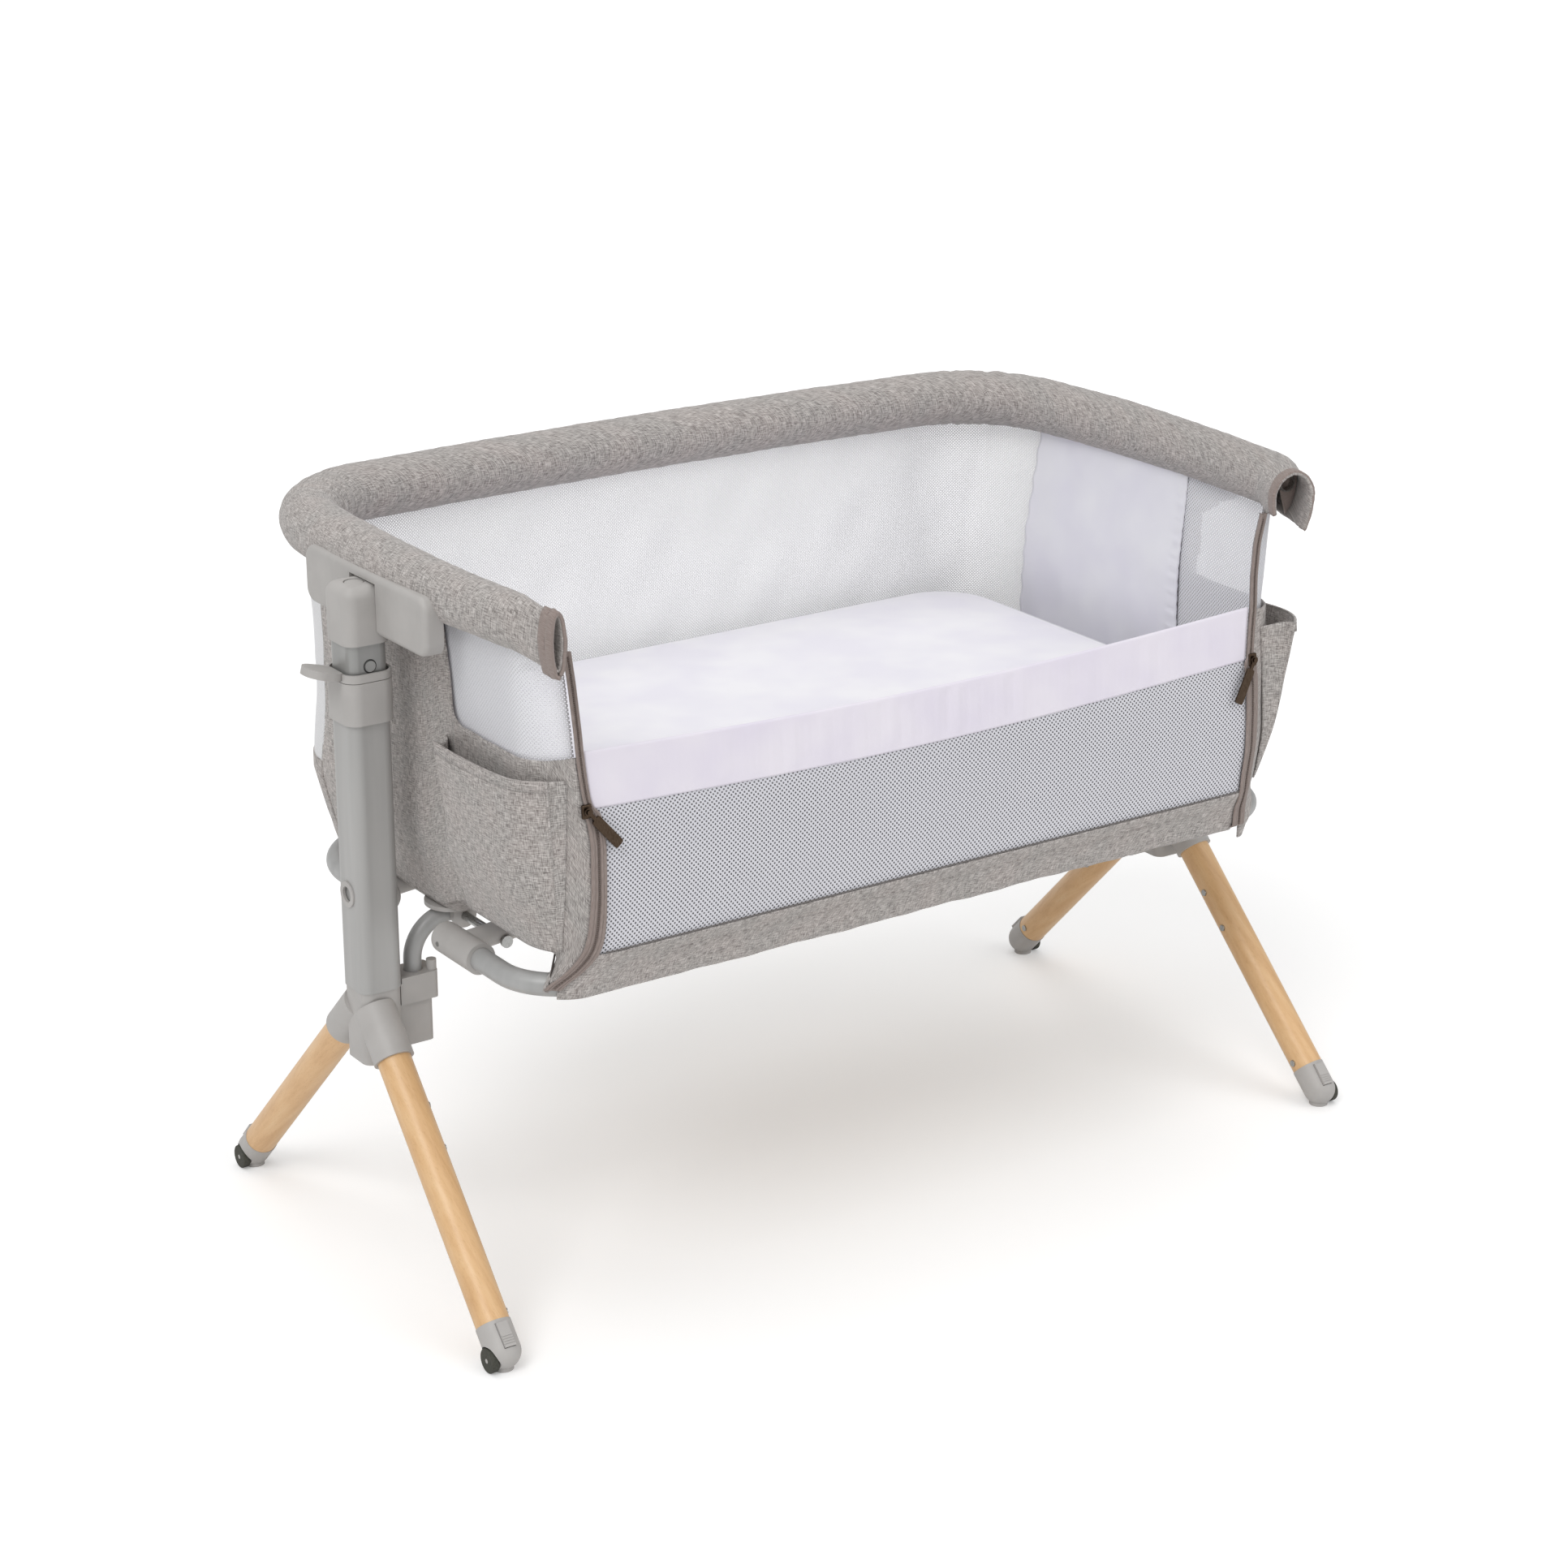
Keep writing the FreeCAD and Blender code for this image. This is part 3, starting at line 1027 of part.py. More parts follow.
for item in doc.Objects:
    if "Invalid" in item.State or "Error" in item.State:
        raise RuntimeError("%s (%s) failed" % (item.Name, item.Label))
os.makedirs("parts", exist_ok=True)
for item in PARTS:
    if item.Shape.isNull() or not item.Shape.isValid() or not item.Shape.Solids:
        raise RuntimeError("%s has no valid shape" % item.Label)
    item.Shape.exportStep("parts/%s.step" % item.Label)
print("%d sub-parts, middle at Y = %.2f" % (len(PARTS), MIDDLE_Y))
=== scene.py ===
import math

import bpy
import numpy as np
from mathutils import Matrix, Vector


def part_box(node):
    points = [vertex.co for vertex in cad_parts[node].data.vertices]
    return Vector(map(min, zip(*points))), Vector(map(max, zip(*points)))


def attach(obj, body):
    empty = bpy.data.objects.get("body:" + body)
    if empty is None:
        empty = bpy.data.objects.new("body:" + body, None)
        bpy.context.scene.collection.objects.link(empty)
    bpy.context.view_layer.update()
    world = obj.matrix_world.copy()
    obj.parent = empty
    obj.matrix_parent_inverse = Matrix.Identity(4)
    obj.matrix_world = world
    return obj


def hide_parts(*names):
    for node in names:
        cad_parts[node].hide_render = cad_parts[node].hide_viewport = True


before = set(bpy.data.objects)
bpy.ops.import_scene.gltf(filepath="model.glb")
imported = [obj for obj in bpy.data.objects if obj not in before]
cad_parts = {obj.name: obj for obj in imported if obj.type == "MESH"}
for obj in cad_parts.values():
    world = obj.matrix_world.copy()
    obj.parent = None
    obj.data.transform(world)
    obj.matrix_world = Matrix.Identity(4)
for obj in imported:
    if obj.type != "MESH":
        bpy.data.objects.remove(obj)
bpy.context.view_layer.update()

# The looks of the bedside crib. Metres; X along the crib, Y from the open front to the back, Z up.
# The cloth is worked out about the plane of the two stands and moved into place with the frame.
SHIFT_Y = (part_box("base_tubes")[0][1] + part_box("base_tubes")[1][1]) / 2
TURN = 2 * math.pi

# ---- the rail and the base tubes, as the frame has them: half sizes, bends and reaches
RAIL_X, RAIL_Y, RAIL_Z = 0.411, 0.253, 0.630
RAIL_CORNER, BACK_BOW, END_BOW = 0.103, 0.010, 0.014
TUBE_REACH, OVERHANG = 0.212, 0.033
SLEEVE_R = 0.0235
BASE_X, BASE_Y, BASE_CORNER = 0.402, 0.206, 0.056
BASE_R = 0.0125

# ---- the cloth's edges: heights, and the places along Y where an end's net and pocket stop
LIP, SLIDER, SILL, TRAY, HEM = 0.5175, 0.470, 0.515, 0.410, 0.345
FOOT, POCKET_FOOT, POCKET_TOP, TUBE_TOP = 0.328, 0.349, 0.5005, 0.322
WALL_TOP, HIGH_NET = 0.616, 0.440
SPLIT_Y, POCKET_REAR = -0.075, -0.078
# from the middle of the front along the wall to a pocket; how far the top of the let-down side hangs lower
POCKET_FRONT, SAG = 0.386, 0.010
# thicknesses of the cloths, and numbers of points along the front, along the back and round the sleeve
CLOTH, NET_CLOTH, THIN_CLOTH = 0.0016, 0.0005, 0.0009
ALONG_FRONT, ALONG_BACK, ROUND_SLEEVE = 300, 220, 57

# height, insets from the rail's axis at the ends, back and front, and radii of the back and front corners
WALL_PLANS = np.array([
    (0.300, 0.030, 0.036, 0.036, 0.060, 0.062),
    (0.330, 0.026, 0.027, 0.029, 0.060, 0.058),
    (0.345, 0.022, 0.024, 0.027, 0.062, 0.054),
    (0.400, 0.009, 0.014, 0.0314, 0.070, 0.050),
    (0.470, 0.012, 0.013, 0.037, 0.080, 0.042),
    (0.505, 0.0115, 0.011, 0.0407, 0.085, 0.040),
    (0.5175, 0.011, 0.010, 0.042, 0.088, 0.040),
    (0.616, 0.003, 0.005, 0.042, 0.103, 0.040)])
# where each zip runs: height, and distance along the wall from the middle of the front
ZIP_LEFT = np.array([
    (0.300, 0.391), (0.318, 0.390), (0.324, 0.379), (0.3315, 0.368), (0.345, 0.359), (0.3615, 0.354),
    (0.3825, 0.3515), (0.400, 0.350), (0.440, 0.348), (0.461, 0.350), (0.475, 0.356), (0.492, 0.358),
    (0.534, 0.361), (0.580, 0.366), (0.616, 0.371)])
ZIP_RIGHT = np.array([
    (0.300, 0.349), (0.357, 0.351), (0.384, 0.357), (0.420, 0.359), (0.450, 0.359), (0.470, 0.356),
    (0.4965, 0.359), (0.519, 0.362), (0.5475, 0.361), (0.579, 0.363), (0.616, 0.372)])
# the zip tape's half width, and the height of its lowest end on the left (-1) and on the right (1)
TAPE_HALF = 0.0065
TAPE_FOOT = {-1: 0.3095, 1: 0.3035}


def ramp(x, start, end):
    """0 before start, 1 past end, smooth between."""
    x = np.clip((np.asarray(x, float) - start) / (end - start), 0.0, 1.0)
    return x * x * (3 - 2 * x)


def bump(x, centre, width):
    return np.exp(-((np.asarray(x, float) - centre) / width) ** 2)


def ripple(u, v, wave_u, wave_v, seed, waves=7):
    """Smooth seeded unevenness between -1 and 1 over a surface, with rough wavelengths along u and v."""
    source = np.random.default_rng(seed)
    total = np.zeros(np.broadcast(u, v).shape)
    for _ in range(waves):
        ku, kv = source.normal(0, 1, 2)
        total += np.sin(TURN * (ku * u / wave_u + kv * v / wave_v) + source.uniform(0, TURN))
    return total / waves


# ---- the rail's path
def bow_radius(half_chord, bow):
    return (half_chord ** 2 + bow ** 2) / (2 * bow)


def rail_arcs():
    """Centre, radius and angles of the back, corner and end arcs of the rail's right half."""
    back_r = bow_radius(RAIL_X - RAIL_CORNER, BACK_BOW)
    end_r = bow_radius(TUBE_REACH, END_BOW)
    back_c, end_c = np.array([0, RAIL_Y - back_r]), np.array([RAIL_X - end_r, 0])
    span = back_c - end_c
    distance = np.hypot(*span)
    to_end, to_back = end_r - RAIL_CORNER, back_r - RAIL_CORNER
    share = (to_end ** 2 - to_back ** 2 + distance ** 2) / (2 * distance)
    rise = math.sqrt(to_end ** 2 - share ** 2)
    axis = span / distance
    side = np.array([-axis[1], axis[0]])
    corner_c = max((end_c + axis * share + side * rise * k for k in (1, -1)), key=lambda p: p.sum())
    to_corner, from_corner = corner_c - back_c, corner_c - end_c
    back_join = math.atan2(to_corner[1], to_corner[0])
    end_join = math.atan2(from_corner[1], from_corner[0])
    mouth = -math.asin((TUBE_REACH + OVERHANG) / end_r)
    return [(back_c, back_r, math.pi / 2, back_join), (corner_c, RAIL_CORNER, back_join, end_join),
            (end_c, end_r, end_join, mouth)]


RAIL_ARCS = rail_arcs()
HALF_RAIL = sum(r * (a - b) for _, r, a, b in RAIL_ARCS)


def rail_at(s):
    """Points and outward normals along the rail; s is 0 at the middle of the back, and grows to the right."""
    sign, left = np.where(s < 0, -1.0, 1.0), np.abs(s)
    point, normal = np.zeros(s.shape + (2,)), np.zeros(s.shape + (2,))
    start = 0.0
    for centre, radius, first, last in RAIL_ARCS:
        reached = (left >= start)[..., None]
        angle = first - (left - start) / radius
        out = np.stack([np.cos(angle), np.sin(angle)], -1)
        point = np.where(reached, centre + radius * out, point)
        normal = np.where(reached, out, normal)
        start += radius * (first - last)
    flip = np.stack([sign, np.ones_like(sign)], -1)
    return point * flip, normal * flip


# ---- the walls' plan
def plan_at(z, over_tube=False):
    """The plan's sizes at heights z, eased over the creases between the measured heights.

    Over the tube the walls pass outside the base tubes at the bottom."""
    columns = []
    for column in range(1, WALL_PLANS.shape[1]):
        near = [np.interp(z + d, WALL_PLANS[:, 0], WALL_PLANS[:, column]) for d in (-0.008, 0.0, 0.008)]
        columns.append(sum(near) / 3)
    if over_tube:
        share = ramp(-z, -HEM, -TUBE_TOP)
        outside = {0: RAIL_X - BASE_X - BASE_R, 2: RAIL_Y - BASE_Y - BASE_R, 4: BASE_CORNER + BASE_R}
        for index, value in outside.items():
            columns[index] = columns[index] * (1 - share) + value * share
    return columns


def zip_at(z, side):
    """The distance of a side's zip at heights z; side is -1 on the left and 1 on the right."""
    line = ZIP_LEFT if side < 0 else ZIP_RIGHT
    near = [np.interp(z + d, line[:, 0], line[:, 1]) for d in (-0.006, -0.003, 0.0, 0.003, 0.006)]
    return sum(near) / 5


def wall_at(q, z, offset=0.0, over_tube=False):
    """Points of the wall at signed distances q from the middle of the front, moved outwards by an offset."""
    sign, q = np.where(q < 0, -1.0, 1.0), np.abs(q)
    end, back, front, back_turn, front_turn = plan_at(z, over_tube)
    a, b, f = RAIL_X - end, RAIL_Y - back, -(RAIL_Y - front)
    front_line = a - front_turn
    front_arc = front_turn * math.pi / 2
    end_line = (b - back_turn) - (f + front_turn)
    back_arc = back_turn * math.pi / 2
    t1 = q - front_line
    t2 = t1 - front_arc
    t3 = t2 - end_line
    t4 = t3 - back_arc
    turn_1, turn_3 = t1 / front_turn - math.pi / 2, t3 / back_turn
    parts = [(q, f + 0 * q, 0 * q, -1 + 0 * q),
             (front_line + front_turn * np.cos(turn_1), f + front_turn + front_turn * np.sin(turn_1),
              np.cos(turn_1), np.sin(turn_1)),
             (a + 0 * q, f + front_turn + t2, 1 + 0 * q, 0 * q),
             (a - back_turn + back_turn * np.cos(turn_3), b - back_turn + back_turn * np.sin(turn_3),
              np.cos(turn_3), np.sin(turn_3)),
             (a - back_turn - t4, b + 0 * q, 0 * q, 1 + 0 * q)]
    tests = [t1 < 0, t2 < 0, t3 < 0, t4 < 0]
    x, y, nx, ny = (np.select(tests, [part[i] for part in parts[:4]], parts[4][i]) for i in range(4))
    x, y = x + nx * offset, y + ny * offset
    return np.stack([x * sign, y, np.broadcast_to(z, x.shape)], -1)


def end_distance(z, y):
    """The distance q at which the end wall reaches a given Y."""
    end, _, front, _, front_turn = plan_at(z)
    return RAIL_X - end - front_turn + front_turn * math.pi / 2 + y + (RAIL_Y - front) - front_turn


def back_corner(z):
    """The distance q at which the back corner begins, and the one at the middle of the back."""
    end, back, _, back_turn, _ = plan_at(z)
    start = end_distance(z, RAIL_Y - back - back_turn)
    return start, start + back_turn * math.pi / 2 + RAIL_X - end - back_turn


# ---- mesh helpers
def in_scene(name, data):
    made = bpy.data.objects.new(name, data)
    bpy.context.scene.collection.objects.link(made)
    return made


def mesh_object(name, points, faces, uvs=None):
    mesh = bpy.data.meshes.new(name)
    points = np.asarray(points, float).reshape(-1, 3) + (0, SHIFT_Y, 0)
    mesh.from_pydata(points.tolist(), [], faces)
    if uvs is not None:
        layer = mesh.uv_layers.new(name="Cut")
        corners = np.empty(len(mesh.loops), int)
        mesh.loops.foreach_get("vertex_index", corners)
        layer.uv.foreach_set("vector", np.asarray(uvs, np.float32).reshape(-1, 2)[corners].ravel())
    mesh.validate()
    mesh.shade_smooth()
    return in_scene(name, mesh)


def grid_faces(rows, cols, start=0, around=False):
    faces = []
    for i in range(rows - 1):
        for j in range(cols if around else cols - 1):
            k = (j + 1) % cols
            faces.append((start + i * cols + j, start + i * cols + k,
                          start + (i + 1) * cols + k, start + (i + 1) * cols + j))
    return faces


def lengths(points):
    """The cut of a sheet: distances along both directions of a grid, in metres."""
    du = np.linalg.norm(np.diff(points, axis=1), axis=2)
    dv = np.linalg.norm(np.diff(points, axis=0), axis=2)
    u = np.concatenate([np.zeros((points.shape[0], 1)), np.cumsum(du, 1)], 1)
    v = np.concatenate([np.zeros((1, points.shape[1])), np.cumsum(dv, 0)], 0)
    middle = u.shape[1] // 2
    u = u - u[:, middle:middle + 1]
    return np.stack([u, v], -1)


def thicken(piece, thickness):
    """Replaces a sheet's mesh by one with a thickness, inwards from its face."""
    solid = piece.modifiers.new("Thickness", "SOLIDIFY")
    solid.thickness = thickness
    solid.offset = -1.0
    solid.use_even_offset = True
    graph = bpy.context.evaluated_depsgraph_get()
    made = bpy.data.meshes.new_from_object(piece.evaluated_get(graph))
    piece.modifiers.clear()
    piece.data = made


def joined(name, grids):
    """One mesh from several grids of points."""
    points, faces, uvs, start = [], [], [], 0
    for grid in grids:
        rows, cols = grid.shape[:2]
        points.append(grid.reshape(-1, 3))
        faces += grid_faces(rows, cols, start)
        uvs.append(lengths(grid).reshape(-1, 2) + (start * 0.001, 0))
        start += rows * cols
    return mesh_object(name, np.concatenate(points), faces, np.concatenate(uvs))


def mirror(grid):
    """The same grid at the other end of the crib, still facing outwards."""
    return (grid * (-1, 1, 1))[:, ::-1]


def hugging(side, reach):
    """Places wall points outside the base tube at a side's zip, and inside it further along the end."""
    def place(q, z, offset):
        start = -zip_at(z, side)
        share = ramp(-np.abs(q), start - reach, start - 0.006)[..., None]
        return wall_at(q, z, offset, True) * share + wall_at(q, z, offset) * (1 - share)
    return place


def panel(q0, q1, z0, z1, cols, rows, offset, place=wall_at):
    """A grid of wall points between two lines; q0 and q1 take a height, z0 and z1 a share along the panel."""
    u, v = np.meshgrid(np.linspace(0, 1, cols), np.linspace(0, 1, rows))
    z = z0(u) * (1 - v) + z1(u) * v
    q = q0(z) * (1 - u) + q1(z) * u
    return place(q, z, offset(u, v, q, z))


def level(height, sag=0.0):
    """An edge at one height, hanging lower by the sag in the middle."""
    return lambda u: height - sag * np.sin(math.pi * u)


def settle(piece, material, node=None, body="basket"):
    """Gives a piece its material and its body, and hides the CAD node that it stands for, if it stands for
    one.
    """
    piece.data.materials.append(material)
    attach(piece, body)
    if node:
        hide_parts(node)


def finish_cloth(piece, material, slot, node, thickness, cut, count=1, held="stretched"):
    """Gives a cloth piece its thickness and place; the cut it is given (panels laid side by side) is not
    used.
    """
    thicken(piece, thickness)
    settle(piece, material, node)


def sewn(name, grids, *settings, **held):
    """A cloth piece made of grids of points, finished with finish_cloth's settings."""
    finish_cloth(joined(name, grids), *settings, **held)


def tube(path, radii, sides, closed):
    """A round tube along a list of points, as one grid of rings."""
    path = np.asarray(path, float)
    if closed:
        tangent = np.roll(path, -1, 0) - np.roll(path, 1, 0)
    else:
        tangent = np.gradient(path, axis=0)
    tangent /= np.linalg.norm(tangent, axis=1)[:, None]
    up = np.array([0.0, 0.0, 1.0])
    if np.abs(tangent @ up).max() > 0.95:
        up = np.array([0.0, 1.0, 0.0])
    side = np.cross(tangent, up)
    side /= np.linalg.norm(side, axis=1)[:, None]
    top = np.cross(side, tangent)
    angles = np.linspace(0, TURN, sides, endpoint=False)
    ring = (side[:, None] * np.cos(angles)[None, :, None] +
            top[:, None] * np.sin(angles)[None, :, None]) * radii[:, None, None]
    return path[:, None] + ring


def tube_object(name, path, radius, material, sides=8, closed=False, body="basket"):
    """A round tube along a path, with rounded ends if it isn't closed."""
    radii = np.full(len(path), radius)
    if not closed:
        directions = path[1] - path[0], path[-1] - path[-2]
        first, last = (step / np.linalg.norm(step) * radius * 0.6 for step in directions)
        path = np.vstack([path[0] - first, path, path[-1] + last])
        radii = np.concatenate([[radius * 0.4], radii, [radius * 0.4]])
    grid = tube(path, radii, sides, closed)
    last_row = (len(grid) - 1) * sides
    faces = grid_faces(len(grid), sides, around=True)
    if closed:
        faces += [(last_row + j, last_row + (j + 1) % sides, (j + 1) % sides, j) for j in range(sides)]
    else:
        faces += [tuple(range(sides))[::-1], tuple(range(last_row, last_row + sides))]
    piece = mesh_object(name, grid, faces)
    settle(piece, material, body=body)


# ---- materials
def linear(value):
    value = value / 255
    return value / 12.92 if value <= 0.04045 else ((value + 0.055) / 1.055) ** 2.4


def colour(red, green, blue):
    return (linear(red), linear(green), linear(blue), 1.0)


class Shader:
    """A small builder for one node material."""

    def __init__(self, name, **sockets):
        self.material = bpy.data.materials.new(name)
        self.material.use_nodes = True
        self.tree = self.material.node_tree
        self.surface = self.tree.nodes["Principled BSDF"]
        for socket, value in sockets.items():
            self.surface.inputs[socket.replace("_", " ")].default_value = value

    def add(self, kind, **values):
        node = self.tree.nodes.new(kind)
        for key, value in values.items():
            if hasattr(node, key):
                setattr(node, key, value)
            else:
                node.inputs[key.replace("_", " ")].default_value = value
        return node

    def link(self, source, target):
        self.tree.links.new(source, target)
        return target

    def cut(self):
        """Coordinates along the threads of a cloth's cut."""
        return self.add("ShaderNodeUVMap", uv_map="Cut").outputs["UV"]

    def space(self):
        return self.add("ShaderNodeTexCoord").outputs["Object"]

    def scaled(self, vector, scale, rotation=(0, 0, 0)):
        node = self.add("ShaderNodeMapping", Scale=scale, Rotation=rotation)
        self.link(vector, node.inputs["Vector"])
        return node.outputs["Vector"]

    def noise(self, vector, scale, detail=2.0, rough=0.5):
        node = self.add("ShaderNodeTexNoise", Scale=scale, Detail=detail, Roughness=rough)
        self.link(vector, node.inputs["Vector"])
        return node.outputs["Fac"]

    def feed(self, sockets, *values):
        """Gives each socket a plain value or another node's output."""
        for socket, value in zip(sockets, values):
            if isinstance(value, bpy.types.NodeSocket):
                self.link(value, socket)
            elif value is not None:
                socket.default_value = value

    def math(self, operation, first, second=None):
        node = self.add("ShaderNodeMath", operation=operation)
        self.feed(node.inputs, first, second)
        return node.outputs[0]

    def ramp(self, factor, *stops):
        node = self.add("ShaderNodeValToRGB")
        elements = node.color_ramp.elements
        while len(elements) < len(stops):
            elements.new(0.5)
        for element, (position, value) in zip(elements, stops):
            element.position = position
            element.color = value
        self.link(factor, node.inputs["Fac"])
        return node.outputs["Color"]

    def mix(self, factor, first, second):
        node = self.add("ShaderNodeMix", data_type="RGBA")
        self.feed((node.inputs[0], node.inputs[6], node.inputs[7]), factor, first, second)
        return node.outputs[2]

    def bump(self, height, strength, distance):
        node = self.add("ShaderNodeBump", Strength=strength, Distance=distance)
        self.link(height, node.inputs["Height"])
        self.link(node.outputs["Normal"], self.surface.inputs["Normal"])

    def base(self, value):
        self.link(value, self.surface.inputs["Base Color"])

    def tinted(self, factor, tone, darker, lighter, start=0.35, end=0.65):
        """A base colour that goes from a little darker than the tone to a little lighter."""
        low, high = (colour(*[channel + change for channel in tone]) for change in (-darker, lighter))
        self.base(self.ramp(factor, (start, low), (end, high)))

    def uneven_gloss(self, factor, amount, rough):
        """A roughness that varies about its value by half the amount."""
        value = self.math("ADD", self.math("MULTIPLY", factor, amount), rough - amount / 2)
        self.link(value, self.surface.inputs["Roughness"])


def crossing(shader, vector, wave, turn):
    """A wave across the cloth times the same wave along it."""
    parts = shader.add("ShaderNodeSeparateXYZ")
    shader.link(vector, parts.inputs[0])
    across, along = (shader.math(wave, shader.math("MULTIPLY", parts.outputs[axis], turn)) for axis in (0, 1))
    return shader.math("MULTIPLY", across, along)


def threads(shader, vector, pitch):
    """Height of a plain weave: over and under threads in both directions."""
    return shader.math("ABSOLUTE", crossing(shader, vector, "SINE", math.pi / pitch))


def melange(name, base=(166, 161, 157), dark=(104, 99, 96), light=(212, 207, 203)):
    """Grey-beige cloth of uneven two-tone yarns with a pinkish cast."""
    shader = Shader(name, Roughness=0.9, Sheen_Weight=0.25, Sheen_Roughness=0.5)
    vector = shader.cut()
    weft = shader.noise(shader.scaled(vector, (125, 1050, 1050)), 1.0, 2.0, 0.7)
    warp = shader.noise(shader.scaled(vector, (1050, 135, 135)), 1.0, 2.0, 0.7)
    yarn = shader.math("ADD", shader.math("MULTIPLY", weft, 0.52), shader.math("MULTIPLY", warp, 0.48))
    tone = shader.ramp(yarn, (0.38, colour(*dark)), (0.49, colour(*base)), (0.60, colour(*light)))
    patches = shader.noise(vector, 24.0, 3.0)
    cast = shader.ramp(patches, (0.40, colour(158, 153, 151)), (0.62, colour(184, 168, 164)))
    shader.base(shader.mix(0.18, tone, cast))
    weave = threads(shader, vector, 0.0011)
    height = shader.math("ADD", shader.math("MULTIPLY", weave, 0.6), yarn)
    shader.bump(height, 0.55, 0.0005)
    return shader.material


def net(name, thread=(222, 222, 228), period=0.0044, open_share=0.22):
    """Knitted net: staggered holes, with the cloth see-through where they are."""
    shader = Shader(name, Roughness=0.85)
    vector = shader.cut()
    holes = crossing(shader, vector, "COSINE", TURN / period)
    mask = shader.add("ShaderNodeMapRange", From_Min=open_share, From_Max=open_share + 0.25)
    shader.link(holes, mask.inputs["Value"])
    shader.tinted(shader.noise(vector, 900.0), thread, 10, 0, 0.3, 0.7)
    shader.link(shader.math("SUBTRACT", 1.0, mask.outputs[0]), shader.surface.inputs["Alpha"])
    shader.bump(shader.math("MULTIPLY", holes, -1.0), 0.4, 0.0003)
    return shader.material


def satin(name, tone, rough=0.5, pitch=0.0006):
    """Smooth woven white cloth with a faint lavender cast."""
    shader = Shader(name, Roughness=rough, Sheen_Weight=0.15)
    vector = shader.cut()
    cast = shader.noise(vector, 14.0, 2.0)
    low = colour(tone[0] - 7, tone[1] - 8, tone[2] - 4)
    shader.base(shader.ramp(cast, (0.35, low), (0.65, colour(*tone))))
    weave = threads(shader, vector, pitch)
    fine = shader.noise(vector, 700.0, 2.0)
    shader.bump(shader.math("ADD", weave, fine), 0.25, 0.0002)
    return shader.material


def webbing(name, tone=(150, 136, 130)):
    """Taupe twill tape."""
    shader = Shader(name, Roughness=0.75, Sheen_Weight=0.2)
    vector = shader.cut()
    lines = shader.noise(shader.scaled(vector, (2600, 160, 160)), 1.0, 2.0)
    shader.tinted(lines, tone, 16, 8)
    twill = threads(shader, shader.scaled(vector, (1, 1, 1), (0, 0, 0.8)), 0.0008)
    shader.bump(shader.math("ADD", twill, lines), 0.5, 0.0003)
    return shader.material


def plastic(name, tone, rough=0.5):
    """Moulded plastic with a fine spark-eroded texture and slightly uneven gloss."""
    shader = Shader(name, Roughness=rough)
    vector = shader.space()
    shader.tinted(shader.noise(vector, 30.0, 3.0), tone, 4, 3)
    fine = shader.noise(vector, 1800.0)
    shader.uneven_gloss(fine, 0.12, rough)
    shader.bump(fine, 0.35, 0.00006)
    return shader.material


def painted(name, tone, metallic, rough=0.42):
    """Satin powder-coated tube."""
    shader = Shader(name, Roughness=rough, Metallic=metallic, Coat_Weight=0.15, Coat_Roughness=0.35)
    vector = shader.space()
    shader.tinted(shader.noise(shader.scaled(vector, (60, 60, 4)), 1.0), tone, 5, 4)
    orange_peel = shader.noise(vector, 900.0)
    shader.uneven_gloss(orange_peel, 0.10, rough)
    shader.bump(orange_peel, 0.25, 0.00005)
    return shader.material


def steel(name, tone, rough):
    """Bare or blackened steel with fine drawn lines."""
    shader = Shader(name, Roughness=rough, Metallic=1.0)
    vector = shader.space()
    lines = shader.noise(shader.scaled(vector, (2200, 2200, 300)), 1.0)
    shader.tinted(lines, tone, 14, 10, 0.3, 0.7)
    shader.uneven_gloss(lines, 0.2, rough)
    shader.bump(lines, 0.2, 0.00004)
    return shader.material


def beech(name):
    """Clear-lacquered beech: grain along the leg, short flecks and pores."""
    shader = Shader(name, Roughness=0.42, Coat_Weight=0.25, Coat_Roughness=0.3)
    parts = shader.add("ShaderNodeSeparateXYZ")
    shader.link(shader.space(), parts.inputs[0])
    x, y, z = parts.outputs
    out = shader.math("ABSOLUTE", shader.math("SUBTRACT", y, SHIFT_Y))

    def mixed(first, share, second):
        return shader.math("ADD", shader.math("MULTIPLY", first, share), second)

    # a leg leans out and down by these shares; the grain's coordinates run along it, across it and sideways
    lean_out, lean_down = 0.699, -0.714
    along = mixed(out, lean_out, shader.math("MULTIPLY", z, lean_down))
    across = mixed(out, -lean_down, shader.math("MULTIPLY", z, lean_out))
    side = mixed(y, 0.31, x)
    place = shader.add("ShaderNodeCombineXYZ")
    shader.feed(place.inputs, along, across, side)
    vector = place.outputs[0]
    rings = shader.noise(shader.scaled(vector, (4.5, 120, 120)), 1.0, 4.0, 0.6)
    flecks = shader.noise(shader.scaled(vector, (150, 1500, 1500)), 1.0, 2.0, 0.6)
    tone = shader.ramp(rings, (0.30, colour(205, 160, 110)), (0.50, colour(222, 180, 130)),
                       (0.72, colour(232, 196, 150)))
    fleck = shader.ramp(flecks, (0.30, colour(190, 146, 98)), (0.42, colour(226, 186, 138)))
    shader.base(shader.mix(0.35, tone, fleck))
    shader.bump(flecks, 0.15, 0.00008)
    return shader.material


def rubber(name):
    shader = Shader(name, Roughness=0.7)
    fine = shader.noise(shader.space(), 500.0, 3.0)
    shader.tinted(fine, (64, 64, 56), 8, 8, 0.3, 0.7)
    shader.bump(fine, 0.4, 0.0001)
    return shader.material


def board(name):
    """Pressed fibre board."""
    shader = Shader(name, Roughness=0.8)
    fibres = shader.noise(shader.scaled(shader.space(), (500, 900, 500)), 1.0, 4.0, 0.7)
    shader.base(shader.ramp(fibres, (0.35, colour(150, 124, 92)), (0.65, colour(188, 160, 124))))
    shader.bump(fibres, 0.3, 0.0001)
    return shader.material


